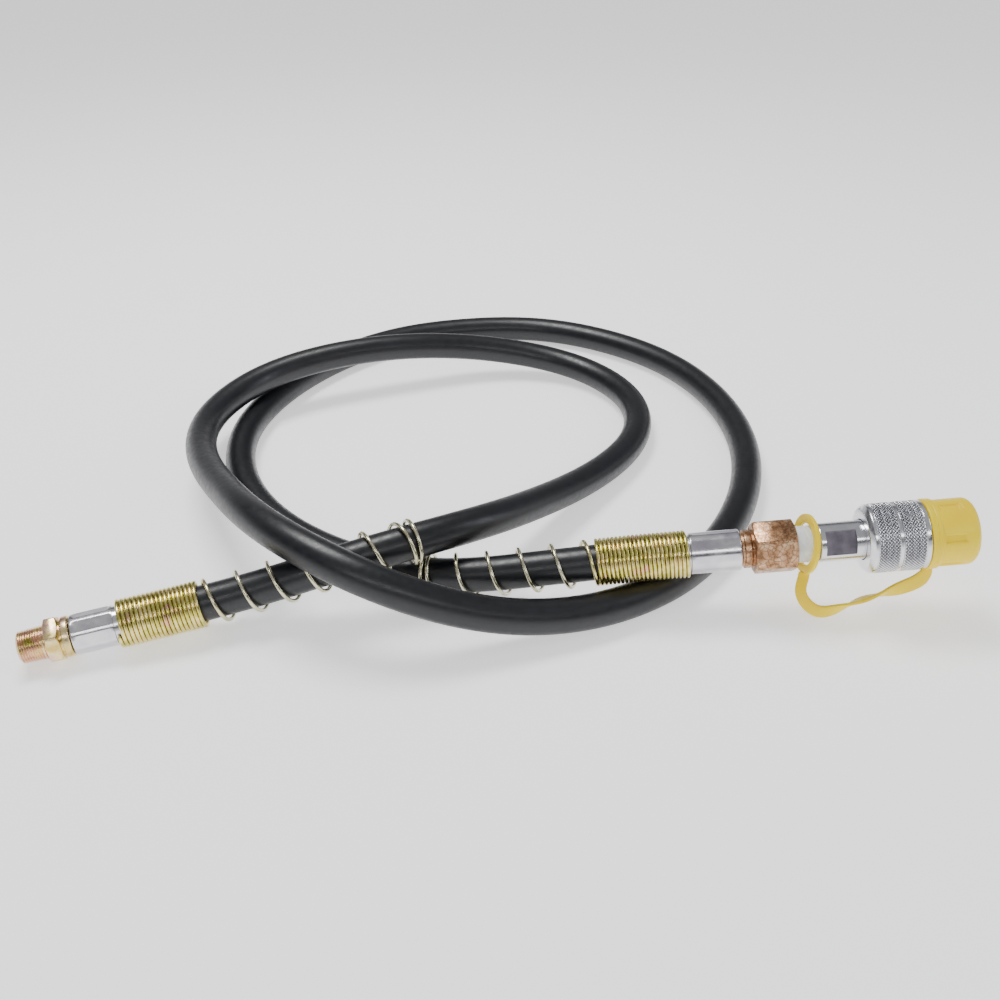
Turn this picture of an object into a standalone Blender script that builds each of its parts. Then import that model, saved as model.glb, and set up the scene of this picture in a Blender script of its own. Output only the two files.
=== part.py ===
"""Hydraulic hose assembly: a hose laid in a crossed double loop, with a male pipe end and a coupler end.

The floor is z = 0 and +X runs from the male end to the coupler. All sizes below are in millimetres;
put_mesh turns them into metres. Each end has a frame of its own, whose +X runs along the fitting:
at end A from the pipe thread towards the hose, at end B from the hose towards the dust cap. Both
start at the outer or inner end of the close-wound part of the spring guard, as named below.
"""
import math

import bmesh
import bpy
import numpy as np
from mathutils import Matrix, Vector

MM = 0.001
GAP = 0.3                  # between pieces that touch
SIDES = 36                 # round a turned piece seen from outside
FEW_SIDES = 24             # round a small or hidden one
HALF_TURN = math.pi

# Hose
HOSE_R = 7.5
HOSE_SIDES_RESOLUTION = 3
FLOOR_CLEAR = 0.05

# End A: frame at the outer end of its spring guard, and the places along it
END_A = (-157.0, -13.0, 11.05)
END_A_YAW, END_A_PITCH = 19.0, 3.0
A_TIP, A_THREAD_END, A_HEX_END, A_COLLAR_END = -37.0, -26.3, -20.8, -17.1
A_SKIRT_END = 10.0
A_HEX_FLATS, A_HEX_TURN = 17.0, 21.0
A_FERRULE_R = 8.15

# End B: frame at the inner end of its spring guard
END_B = (38.0, 13.4, 23.0)
END_B_PITCH = 6.0
B_HOSE_END = 27.0
B_SPRING_END, B_FERRULE_END, B_COLLAR_END = 37.4, 58.4, 63.6
B_HEX_END, B_TAPE_END = 80.7, 89.7
B_HEX_FLATS, B_HEX_TURN = 20.0, 14.0
B_FERRULE_R = 8.6
BODY_R, FLAT_HALF, FLAT_TURN = 8.2, 6.55, 150.0
FLAT_FROM, FLAT_TO = 92.2, 104.3
COLLAR_FROM, COLLAR_TO, COLLAR_R = 108.1, 132.0, 14.3
NOSE_R, NOSE_END, VALVE_BORE = 9.0, 146.0, 5.6
CAP_BEAD_FROM, CAP_BEAD_TO, CAP_BEAD_R = 132.4, 136.2, 14.55
CAP_R, CAP_END = 13.75, 152.0
FLUTES, FLUTE_TURN = 6, 96.0

# Hose end inside each ferrule
TAIL_R, TAIL_BORE = 3.15, 2.0
LINER = (3.45, 4.75)
BRAID = (5.05, 6.15)
FERRULE_IN, LOCK_IN, NECK_R = 6.45, 4.9, 4.6
SKIRT_R = 7.75

# Spring guards
WIRE, COIL_R = 1.6, 9.2
STEPS_PER_TURN = 12
CLOSE_PITCH = 1.7

# Tether
RING_X, RING_IN, RING_OUT, RING_THICK = 85.8, 8.7, 12.5, 1.8
RING_LEAN, RING_YAW = 10.0, 6.0
STRAP_SWING = 25.0         # the strap hangs this far round from straight below the axis
STRAP_WIDTH, STRAP_END_WIDTH, STRAP_THICK, STRAP_TWIST = 6.6, 4.6, 1.6, 75.0
STRAP_STATIONS = 40

ROUTE = [
    (-102, 3, 17.2), (-57, 11.5, 28.2), (-15.5, 33, 28), (16, 68, 17.4), (46, 106, 9.6),
    (70, 149, 7.7), (70.5, 191.5, 7.7), (43, 228.5, 9.8), (-7, 239, 16.7), (-53, 228, 23.8),
    (-97, 211, 25.8), (-136, 185, 23.2), (-155, 142, 21.6), (-147, 95, 25.4), (-125, 52, 33.2),
    (-98, 13.5, 40.3), (-59, -12.5, 35.7), (-14, -14, 18.5), (31, -3, 8.8), (73, 21, 7.7),
    (102, 58, 7.7), (120, 102, 7.7), (126, 149, 7.7), (119, 196, 7.7), (99, 238, 7.7),
    (65, 271, 7.7), (21, 290, 7.7), (-26, 289, 7.7), (-70, 273, 7.7), (-105, 241, 7.7),
    (-129, 200, 7.7), (-140, 154, 7.7), (-133, 108, 7.7), (-109, 67, 7.7), (-72, 37, 7.9),
    (-28, 19.5, 11.1), (10, 15, 17.5),
]


# ---------------------------------------------------------------- helpers

def clear_scene():
    for obj in list(bpy.data.objects):
        bpy.data.objects.remove(obj, do_unlink=True)


def paint(name, colour, roughness, metallic=0.0):
    material = bpy.data.materials.new(name)
    material.use_nodes = True
    shader = material.node_tree.nodes["Principled BSDF"]
    shader.inputs["Base Color"].default_value = (*colour, 1.0)
    shader.inputs["Roughness"].default_value = roughness
    shader.inputs["Metallic"].default_value = metallic
    material.diffuse_color = (*colour, 1.0)
    return material


def end_frame(name, origin, yaw, pitch):
    """An empty whose +X runs along a fitting: turned by yaw about Z, then lifted by pitch."""
    turn = Matrix.Rotation(math.radians(yaw), 4, "Z") @ Matrix.Rotation(-math.radians(pitch), 4, "Y")
    frame = bpy.data.objects.new(name, None)
    frame.matrix_world = Matrix.Translation(Vector(origin) * MM) @ turn
    bpy.context.scene.collection.objects.link(frame)
    return frame


def along(frame, x, y=0.0, z=0.0):
    """A point given in a fitting's frame (mm), in world mm."""
    return np.array(frame.matrix_world @ (Vector((x, y, z)) * MM)) / MM


def direction(frame):
    return np.array(frame.matrix_world.to_3x3() @ Vector((1.0, 0.0, 0.0)))


def put_mesh(name, points, faces, material, parent=None, smooth_angle=32.0):
    """A closed mesh from points in mm, its faces turned outwards, parented to a frame."""
    mesh = bpy.data.meshes.new(name)
    mesh.from_pydata([tuple(float(c) * MM for c in p) for p in points], [], faces)
    work = bmesh.new()
    work.from_mesh(mesh)
    bmesh.ops.recalc_face_normals(work, faces=work.faces)
    work.to_mesh(mesh)
    work.free()
    mesh.shade_smooth()
    mesh.set_sharp_from_angle(angle=math.radians(smooth_angle))
    mesh.materials.append(material)
    obj = bpy.data.objects.new(name, mesh)
    obj.parent = parent
    bpy.context.scene.collection.objects.link(obj)
    return obj


def turned(name, outline, frame, material, sides=SIDES, start=0.0):
    """A closed outline turned about the frame's X axis, its first corner at start degrees.

    Each outline point is (x, r), or a function that gives (x, r) at an angle, for hexagons, flats
    and flutes. A point on the axis becomes one vertex; an outline clear of the axis leaves a bore.
    """
    points, rows = [], []
    for entry in outline:
        on_axis = not callable(entry) and entry[1] == 0.0
        row = []
        for step in range(1 if on_axis else sides):
            angle = math.radians(start) + 2.0 * math.pi * step / sides
            x, r = entry(angle) if callable(entry) else entry
            row.append(len(points))
            points.append((x, r * math.cos(angle), r * math.sin(angle)))
        rows.append(row * sides if on_axis else row)
    solid = outline_on_axis(outline)
    faces = []
    for index, row in enumerate(rows):
        if solid and index == len(rows) - 1:
            break
        following = rows[(index + 1) % len(rows)]
        for step in range(sides):
            ahead = (step + 1) % sides
            corners = [row[step], row[ahead], following[ahead], following[step]]
            faces.append(list(dict.fromkeys(corners)))
    return put_mesh(name, points, faces, material, frame)


def outline_on_axis(outline):
    first = outline[0]
    return not callable(first) and first[1] == 0.0


def hexagon_radius(angle, flats, turn):
    """Radius of a hexagon with a corner at turn (degrees), at an angle round the axis."""
    sector = HALF_TURN / 3.0
    off = (angle - math.radians(turn) + sector / 2.0) % sector - sector / 2.0
    return flats / 2.0 / math.cos(sector / 2.0 - abs(off))


def hexagon(start, end, flats, turn):
    """Outline entries of a hexagon whose ends are chamfered to a circle just inside its flats."""
    circle = flats / 2.0 * 0.97
    slope = math.tan(math.radians(28.0))

    def lower(angle):
        radius = hexagon_radius(angle, flats, turn)
        return start + (radius - circle) * slope, radius

    def upper(angle):
        radius = hexagon_radius(angle, flats, turn)
        return end - (radius - circle) * slope, radius

    return [(start, circle), lower, upper, (end, circle)]


def crimped(radius, flats, depth):
    """Radius function of a crimped ferrule: round, with flats pressed lengthwise."""
    def at(angle):
        sector = 2.0 * math.pi / flats
        off = (angle % sector) - sector / 2.0
        return min(radius, (radius - depth) / math.cos(off))
    return at


def ring_of(x, radius_at):
    return lambda angle: (x, radius_at(angle))


def cubic_through(points, first_way=None, last_way=None, samples=2000):
    """A smooth cubic spline through points, with its end directions held where they are given."""
    p = np.asarray(points, float)
    count = len(p)
    t = np.concatenate([[0.0], np.cumsum(np.linalg.norm(np.diff(p, axis=0), axis=1))])
    h = np.diff(t)
    slopes = np.diff(p, axis=0) / h[:, None]
    a = np.zeros((count, count))
    b = np.zeros((count, 3))
    for i in range(1, count - 1):
        a[i, i - 1], a[i, i], a[i, i + 1] = h[i - 1], 2.0 * (h[i - 1] + h[i]), h[i]
        b[i] = 6.0 * (slopes[i] - slopes[i - 1])
    a[0, 0] = a[-1, -1] = 1.0
    if first_way is not None:
        a[0, 0], a[0, 1] = 2.0 * h[0], h[0]
        b[0] = 6.0 * (slopes[0] - first_way)
    if last_way is not None:
        a[-1, -1], a[-1, -2] = 2.0 * h[-1], h[-1]
        b[-1] = 6.0 * (last_way - slopes[-1])
    m = np.linalg.solve(a, b)
    s = np.linspace(0.0, t[-1], samples)
    k = np.clip(np.searchsorted(t, s, side="right") - 1, 0, count - 2)
    left, right, hk = (t[k + 1] - s)[:, None], (s - t[k])[:, None], h[k][:, None]
    curve = (m[k] * left ** 3 + m[k + 1] * right ** 3) / (6.0 * hk)
    curve += (p[k] / hk - m[k] * hk / 6.0) * left
    curve += (p[k + 1] / hk - m[k + 1] * hk / 6.0) * right
    return curve


def lengths(curve):
    """Distance along a polyline at each of its points."""
    return np.concatenate([[0.0], np.cumsum(np.linalg.norm(np.diff(curve, axis=0), axis=1))])


def at_lengths(curve, wanted):
    s = lengths(curve)
    return np.stack([np.interp(wanted, s, curve[:, axis]) for axis in range(3)], axis=1)


def carried_frames(curve, first_side):
    """Directions along a curve, and a side and an up direction carried along it without twist."""
    ways = np.gradient(curve, axis=0)
    ways /= np.linalg.norm(ways, axis=1)[:, None]
    sides = np.empty_like(ways)
    side = np.asarray(first_side, float)
    for index, way in enumerate(ways):
        side = side - way * np.dot(side, way)
        side = side / np.linalg.norm(side)
        sides[index] = side
    return ways, sides, np.cross(ways, sides)


def swept(name, centres, sides, ups, section, material, parent=None):
    """A section of (side, up) points carried along centres, closed at both ends."""
    points, faces = [], []
    count = len(section)
    for centre, side, up in zip(centres, sides, ups):
        points.extend(centre + side * u + up * v for u, v in section)
    for row in range(len(centres) - 1):
        for step in range(count):
            ahead = (step + 1) % count
            low, high = row * count, (row + 1) * count
            faces.append([low + step, low + ahead, high + ahead, high + step])
    faces.append(list(range(count)))
    faces.append([(len(centres) - 1) * count + step for step in range(count)])
    return put_mesh(name, points, faces, material, parent)


def wire_section(half):
    """A three-cornered section for thin wire, one corner outwards."""
    return [(half * math.cos(2.0 * math.pi * k / 3.0), half * math.sin(2.0 * math.pi * k / 3.0))
            for k in range(3)]


# ---------------------------------------------------------------- hose and spring guards

def hose_curve(frame_a, frame_b):
    """The hose's centre line in world mm, from its end in ferrule A to its end in ferrule B."""
    start = along(frame_a, A_SKIRT_END + GAP)
    end = along(frame_b, B_HOSE_END)
    curve = cubic_through([start, *ROUTE, end], direction(frame_a), direction(frame_b))
    curve[:, 2] = np.maximum(curve[:, 2], HOSE_R + FLOOR_CLEAR)
    return curve


def make_hose(curve, material):
    """A tube with its points closer together inside the spring guards than elsewhere."""
    total = lengths(curve)[-1]
    guard_a, guard_b = 120.0, total - 110.0
    wanted = np.concatenate([
        np.linspace(0.0, guard_a, 11)[:-1],
        np.linspace(guard_a, guard_b, 58)[:-1],
        np.linspace(guard_b, total, 11),
    ])
    points = at_lengths(curve, wanted)
    data = bpy.data.curves.new("hose", "CURVE")
    data.dimensions = "3D"
    data.bevel_depth = HOSE_R * MM
    data.bevel_resolution = HOSE_SIDES_RESOLUTION
    data.use_fill_caps = True
    spline = data.splines.new("POLY")
    spline.points.add(len(points) - 1)
    for point, place in zip(spline.points, points):
        point.co = (*(place * MM), 1.0)
    data.materials.append(material)
    obj = bpy.data.objects.new("hose", data)
    bpy.context.scene.collection.objects.link(obj)
    return obj


def guard_places(close_turns, open_turns, open_pitch):
    """How far along the guard the wire is at each step: close turns, open turns, one end turn."""
    ramp = 0.5
    knots = [0.0, close_turns, close_turns + ramp, close_turns + ramp + open_turns,
             close_turns + 2.0 * ramp + open_turns, close_turns + 2.0 * ramp + open_turns + 1.0]
    pitches = [CLOSE_PITCH, CLOSE_PITCH, open_pitch, open_pitch, CLOSE_PITCH, CLOSE_PITCH]
    steps = int(knots[-1] * STEPS_PER_TURN)
    middles = (np.arange(steps) + 0.5) / STEPS_PER_TURN
    advance = np.interp(middles, knots, pitches) / STEPS_PER_TURN
    return np.concatenate([[0.0], np.cumsum(advance)])


def make_guard(name, spine, first_side, close_turns, open_turns, open_pitch, start_turn, material):
    """A right-hand wire coil round a spine that runs from the guard's close-wound end."""
    places = guard_places(close_turns, open_turns, open_pitch) + WIRE / 2.0
    fine = at_lengths(spine, np.arange(0.0, places[-1] + 2.0, 0.5))
    _, sides, ups = carried_frames(fine, first_side)
    s = lengths(fine)

    def read(field):
        values = np.stack([np.interp(places, s, field[:, axis]) for axis in range(3)], axis=1)
        return values

    angles = 2.0 * math.pi * (np.arange(len(places)) / STEPS_PER_TURN) + math.radians(start_turn)
    outward = read(sides) * np.cos(angles)[:, None] + read(ups) * np.sin(angles)[:, None]
    outward /= np.linalg.norm(outward, axis=1)[:, None]
    centres = read(fine) + outward * COIL_R
    run = np.gradient(centres, axis=0)
    run /= np.linalg.norm(run, axis=1)[:, None]
    across = np.cross(run, outward)
    return swept(name, centres, outward, across, wire_section(WIRE / 2.0), material)


# ---------------------------------------------------------------- end A

def thread_rows(points, faces, start, turns, pitch, root, crest, sides):
    """Rows of a helical thread on a taper; returns its first and last open rows of corners.

    Row j at step i lies at start + pitch * (j / 2 + i / sides), so the last step of each row meets
    the row two further on.
    """
    last = 2 * turns - 2
    base = len(points)

    def corner(step, row):
        return base + row * sides + step

    for row in range(last + 1):
        for step in range(sides):
            angle = math.radians(A_HEX_TURN) + 2.0 * math.pi * step / sides
            x = start + pitch * (row / 2.0 + step / sides)
            r = (crest if row % 2 else root) + (x - start) / 32.0
            points.append((x, r * math.cos(angle), r * math.sin(angle)))
    for row in range(last):
        for step in range(sides - 1):
            faces.append([corner(step, row), corner(step + 1, row),
                          corner(step + 1, row + 1), corner(step, row + 1)])
    for row in range(last - 2):
        faces.append([corner(sides - 1, row), corner(0, row + 2),
                      corner(0, row + 3), corner(sides - 1, row + 1)])
    return corner, last


def make_male_end(frame, material):
    """Taper pipe thread, hexagon, collar and barbed tail in one piece, with a bore through it."""
    sides, pitch, turns = FEW_SIDES, 25.4 / 27.0, 10
    points, faces = [], []
    thread_from = A_TIP + 0.5
    corner, last = thread_rows(points, faces, thread_from, turns, pitch, 5.95, 6.55, sides)

    def ring(entry):
        first = len(points)
        for step in range(sides):
            angle = math.radians(A_HEX_TURN) + 2.0 * math.pi * step / sides
            x, r = entry(angle) if callable(entry) else entry
            points.append((x, r * math.cos(angle), r * math.sin(angle)))
        return [first + step for step in range(sides)]

    before = [ring(e) for e in [(A_TIP, 3.5), (A_TIP, 5.2), (thread_from - 0.1, 5.85)]]
    after_x = thread_from + pitch * turns
    tail = [(x, r) for x, r in barbs(A_COLLAR_END + 2.0, A_SKIRT_END - 2.5)]
    after = [(after_x + 0.1, 6.2), (A_THREAD_END, 6.2)]
    after += hexagon(A_THREAD_END, A_HEX_END, A_HEX_FLATS, A_HEX_TURN)
    after += [(A_HEX_END, 7.1), (A_HEX_END + 0.9, 7.1), (A_HEX_END + 1.2, 8.3),
              (A_COLLAR_END - 0.4, 8.3), (A_COLLAR_END, 7.9), (A_COLLAR_END, NECK_R),
              (A_COLLAR_END + 2.0, NECK_R)]
    after += tail + [(tail[-1][0], TAIL_BORE), (A_COLLAR_END - 6.0, TAIL_BORE), (A_HEX_END - 4.0, 3.5)]
    after = [ring(e) for e in after]
    loops = before + [None] + after
    for low, high in zip(loops, loops[1:] + loops[:1]):
        if low is None or high is None:
            continue
        for step in range(sides):
            ahead = (step + 1) % sides
            faces.append([low[step], low[ahead], high[ahead], high[step]])
    join_thread(faces, before[-1], corner, 0, sides)
    join_thread(faces, after[0], corner, last, sides)
    return put_mesh("male_end_fitting", points, triangulated(faces), material, frame)


def join_thread(faces, ring, corner, row, sides):
    """Close the gap between a plain ring and the first or last row of a thread."""
    for step in range(sides - 1):
        faces.append([ring[step], ring[step + 1], corner(step + 1, row), corner(step, row)])
    if row == 0:
        seam = [corner(sides - 1, 0), corner(0, 2), corner(0, 1), corner(0, 0)]
    else:
        seam = [corner(sides - 1, row), corner(sides - 1, row - 1),
                corner(sides - 1, row - 2), corner(0, row)]
    centre = [ring[0], ring[sides - 1]] + seam
    faces.append(centre)


def triangulated(faces):
    """Split faces of more than four corners into a fan."""
    out = []
    for face in faces:
        if len(face) <= 4:
            out.append(face)
            continue
        out.extend([face[0], face[k], face[k + 1]] for k in range(1, len(face) - 1))
    return out


def barbs(start, end, count=3):
    """Outline of a tail with barbs that slope down towards the hose."""
    pitch = (end - start) / count
    outline = []
    for index in range(count):
        x = start + index * pitch
        outline += [(x, TAIL_R - 0.45), (x + 0.15 * pitch, TAIL_R), (x + 0.85 * pitch, TAIL_R - 0.45)]
    return outline + [(end, TAIL_R - 0.45)]


def make_ferrule(name, frame, material, lock_x, skirt_x, shoulder_x, radius, flats, depth):
    """A crimped ferrule: locked on the fitting at lock_x, with a plain skirt under the guard."""
    way = 1.0 if skirt_x > lock_x else -1.0
    body = crimped(radius, flats, depth) if flats else (lambda angle: radius)
    outline = [
        (lock_x, LOCK_IN), (lock_x, radius - 1.0), ring_of(lock_x + way * 0.8, body),
        ring_of(shoulder_x - way * 0.5, body), (shoulder_x, radius - 0.6), (shoulder_x, SKIRT_R),
        (skirt_x - way * 0.4, SKIRT_R), (skirt_x, SKIRT_R - 0.3), (skirt_x, FERRULE_IN),
        (lock_x + way * 2.3, FERRULE_IN), (lock_x + way * 2.3, LOCK_IN),
    ]
    return turned(name, outline, frame, material)


def make_hose_end(letter, frame, near, far, rubber, wire):
    """The hose's liner and its wire braid where they sit between the tail and the ferrule."""
    for name, (inner, outer), finish in (
            (f"liner_end_{letter}", LINER, rubber), (f"braid_end_{letter}", BRAID, wire)):
        outline = [(near, inner), (near, outer), (far, outer), (far, inner)]
        turned(name, outline, frame, finish, FEW_SIDES)


# ---------------------------------------------------------------- end B

def make_hex_end(frame, material):
    """Barbed tail, grooved collar and hexagon with a tapered socket for the coupler."""
    tail = barbs(B_FERRULE_END - 2.3, B_HOSE_END + 2.5)
    outline = [(tail[-1][0], TAIL_BORE), *reversed(tail)]
    outline += [
        (B_FERRULE_END - 2.0, NECK_R), (B_FERRULE_END + GAP, NECK_R), (B_FERRULE_END + GAP, 7.5),
        (B_FERRULE_END + 0.7, 7.9), (B_FERRULE_END + 1.6, 7.9), (B_FERRULE_END + 1.9, 7.2),
        (B_FERRULE_END + 2.5, 7.2), (B_FERRULE_END + 2.8, 7.9), (B_COLLAR_END - 0.9, 7.9),
        (B_COLLAR_END - 0.6, 7.3), (B_COLLAR_END, 7.3),
    ]
    outline += hexagon(B_COLLAR_END, B_HEX_END, B_HEX_FLATS, B_HEX_TURN)
    outline += [(B_HEX_END, 7.6), (B_HEX_END - 0.7, 7.1), (B_HEX_END - 12.0, 6.9),
                (B_HEX_END - 12.0, TAIL_BORE)]
    return turned("hex_end_fitting", outline, frame, material, FEW_SIDES, B_HEX_TURN)


def make_tape(frame, material):
    outline = [(B_HEX_END + GAP, 7.05), (B_HEX_END + GAP, 7.35), (B_HEX_END + 1.5, 7.6),
               (B_TAPE_END - 0.6, 7.6), (B_TAPE_END, 7.4), (B_TAPE_END, 7.05)]
    return turned("thread_tape", outline, frame, material, FEW_SIDES)


def box_cutter(name, frame, size, place, turn):
    """A box in a frame, turned about its X axis, kept as a guide for a Boolean."""
    half = [s / 2.0 for s in size]
    corners = [(x, y, z) for x in (-1, 1) for y in (-1, 1) for z in (-1, 1)]
    c, s = math.cos(math.radians(turn)), math.sin(math.radians(turn))
    points = []
    for cx, cy, cz in corners:
        x, y, z = place[0] + cx * half[0], place[1] + cy * half[1], place[2] + cz * half[2]
        points.append((x, y * c - z * s, y * s + z * c))
    faces = [[0, 1, 3, 2], [4, 6, 7, 5], [0, 4, 5, 1], [2, 3, 7, 6], [0, 2, 6, 4], [1, 5, 7, 3]]
    cutter = put_mesh(name, points, faces, paint(name, (0.5, 0.5, 0.5), 0.5), frame)
    cutter.hide_render = True
    cutter.display_type = "WIRE"
    return cutter


def make_coupler_body(frame, material):
    """Threaded tail, barrel with two wrench flats, flange for the collar and socket for the nose."""
    flange = 113.5
    outline = [
        (70.0, 3.5), (70.0, 5.9), (70.6, 6.4), (B_TAPE_END - 1.0, 6.75), (B_TAPE_END + GAP, 6.75),
        (B_TAPE_END + GAP, 7.8), (B_TAPE_END + 0.7, BODY_R), (flange, BODY_R), (flange, 10.8),
        (117.0, 10.8), (117.0, 7.0), (105.0, 7.0), (105.0, 3.5),
    ]
    body = turned("coupler_body", outline, frame, material)
    length = FLAT_TO - FLAT_FROM
    depth = 4.0
    for index, side in enumerate((1.0, -1.0)):
        place = ((FLAT_FROM + FLAT_TO) / 2.0, side * (FLAT_HALF + depth / 2.0), 0.0)
        cutter = box_cutter(f"flat_cutter_{index}", frame, (length, depth, 20.0), place, FLAT_TURN)
        cut = body.modifiers.new(f"flat_{index}", "BOOLEAN")
        cut.operation = "DIFFERENCE"
        cut.solver = "EXACT"
        cut.object = cutter
    return body


def make_coupler_nose(frame, material):
    """Nose that carries the valve seat and a groove for its seal, screwed into the body."""
    outline = [
        (105.4, VALVE_BORE), (105.4, 6.4), (106.0, 6.7), (117.3, 6.7), (117.3, 7.0), (118.3, 7.0),
        (118.3, 8.6), (117.3, 8.6), (117.3, NOSE_R), (138.4, NOSE_R), (138.4, 7.6), (141.0, 7.6),
        (141.0, NOSE_R), (NOSE_END - 0.8, NOSE_R), (NOSE_END, NOSE_R - 0.8), (NOSE_END, 4.2),
        (143.9, 4.2), (141.5, VALVE_BORE),
    ]
    return turned("coupler_nose", outline, frame, material)


def round_ring(name, frame, x, radius, wire, material, around=6):
    """A ring of round wire, such as an O-ring, lying square to the axis."""
    outline = []
    for step in range(around):
        angle = 2.0 * math.pi * step / around
        outline.append((x + wire / 2.0 * math.cos(angle), radius + wire / 2.0 * math.sin(angle)))
    return turned(name, outline, frame, material, FEW_SIDES)


def make_valve(frame, steel, rubber, wire):
    """Guide, spring, poppet and seals, all on the coupler's axis."""
    guide = crimped(5.3, 3, 1.0)
    turned("poppet_guide", [(116.0, 1.8), ring_of(116.0, guide), ring_of(118.0, guide), (118.0, 1.8)],
           frame, steel, FEW_SIDES)
    turned("valve_poppet", [
        (112.0, 0.0), (112.0, 1.2), (112.3, 1.5), (138.6, 1.5), (138.6, 4.8), (139.8, 4.8),
        (139.8, 2.5), (141.4, 2.5), (141.4, 3.8), (145.7, 3.8), (145.7, 0.0)], frame, steel, FEW_SIDES)
    turned("poppet_seal", [(140.1, 2.8), (140.1, 4.9), (141.1, 4.9), (141.1, 2.8)],
           frame, rubber, FEW_SIDES)
    round_ring("nose_seal", frame, 139.7, 8.6, 1.5, rubber)
    turned("body_seal", [(117.3, 7.3), (117.3, 8.3), (118.0, 8.3), (118.0, 7.3)],
           frame, rubber, FEW_SIDES)
    make_valve_spring(frame, wire)


def make_valve_spring(frame, material, turns=6, steps=10, radius=3.4, half=0.4):
    start, end = 118.0 + GAP + half, 138.6 - GAP - half
    count = turns * steps + 1
    t = np.linspace(0.0, 1.0, count)
    angle = 2.0 * math.pi * turns * t
    x = start + (end - start) * t
    outward = np.stack([0.0 * t, np.cos(angle), np.sin(angle)], axis=1)
    centres = np.stack([x, 0.0 * t, 0.0 * t], axis=1) + outward * radius
    run = np.gradient(centres, axis=0)
    run /= np.linalg.norm(run, axis=1)[:, None]
    swept("valve_spring", centres, outward, np.cross(run, outward), wire_section(half), material, frame)


def make_collar(frame, material, wire):
    """Knurled collar, which turns on the body's flange, and the wire ring that keeps it on."""
    outline = [
        (COLLAR_FROM, 8.55), (COLLAR_FROM, 12.9), (109.6, COLLAR_R), (119.7, COLLAR_R), (120.1, 13.6),
        (120.9, 13.6), (121.3, COLLAR_R), (131.4, COLLAR_R), (COLLAR_TO, 13.7), (COLLAR_TO, 11.6),
        (121.0, 11.4), (119.0, 11.4), (119.0, 11.9), (117.2, 11.9), (117.2, 11.2), (112.9, 11.2),
        (112.9, 8.55),
    ]
    turned("knurled_collar", outline, frame, material)
    round_ring("collar_ring", frame, 118.1, 10.9, 1.2, wire)


def make_dust_cap(frame, material):
    """Hollow cap: a plug inside the collar, a bead against it and a fluted barrel over the nose."""
    def fluted(x, depth):
        def at(angle):
            sector = 2.0 * math.pi / FLUTES
            off = abs((angle - math.radians(FLUTE_TURN) + sector / 2.0) % sector - sector / 2.0)
            return x, CAP_R - (depth if off < math.radians(9.0) else 0.0)
        return at

    outline = [
        (122.0, 9.8), (122.0, 10.7), (122.4, 11.0), (CAP_BEAD_FROM, 11.0),
        (CAP_BEAD_FROM, CAP_BEAD_R - 0.4), (CAP_BEAD_FROM + 0.4, CAP_BEAD_R),
        (CAP_BEAD_TO - 0.6, CAP_BEAD_R), (CAP_BEAD_TO, CAP_R),
        fluted(CAP_BEAD_TO + 0.6, 0.0), fluted(CAP_BEAD_TO + 1.0, 0.9), fluted(CAP_END - 6.4, 0.9),
        fluted(CAP_END - 5.2, 0.0), (CAP_END - 1.8, CAP_R), (CAP_END - 0.6, CAP_R - 0.6),
        (CAP_END, CAP_R - 2.0), (CAP_END, 0.0), (CAP_END - 1.0, 0.0), (CAP_END - 1.0, 10.4),
        (CAP_END - 2.4, 11.8), (134.0, 11.8), (132.2, 9.8),
    ]
    split = next(i for i, e in enumerate(outline) if not callable(e) and e[1] == 0.0)
    reordered = outline[split + 1:] + outline[:split + 1]
    return turned("dust_cap", reordered, frame, material, 48, FLUTE_TURN)



# ---------------------------------------------------------------- tether

def ring_matrix():
    lean = Matrix.Rotation(math.radians(RING_LEAN), 3, "Y")
    return lean @ Matrix.Rotation(math.radians(RING_YAW), 3, "Z")


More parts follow.
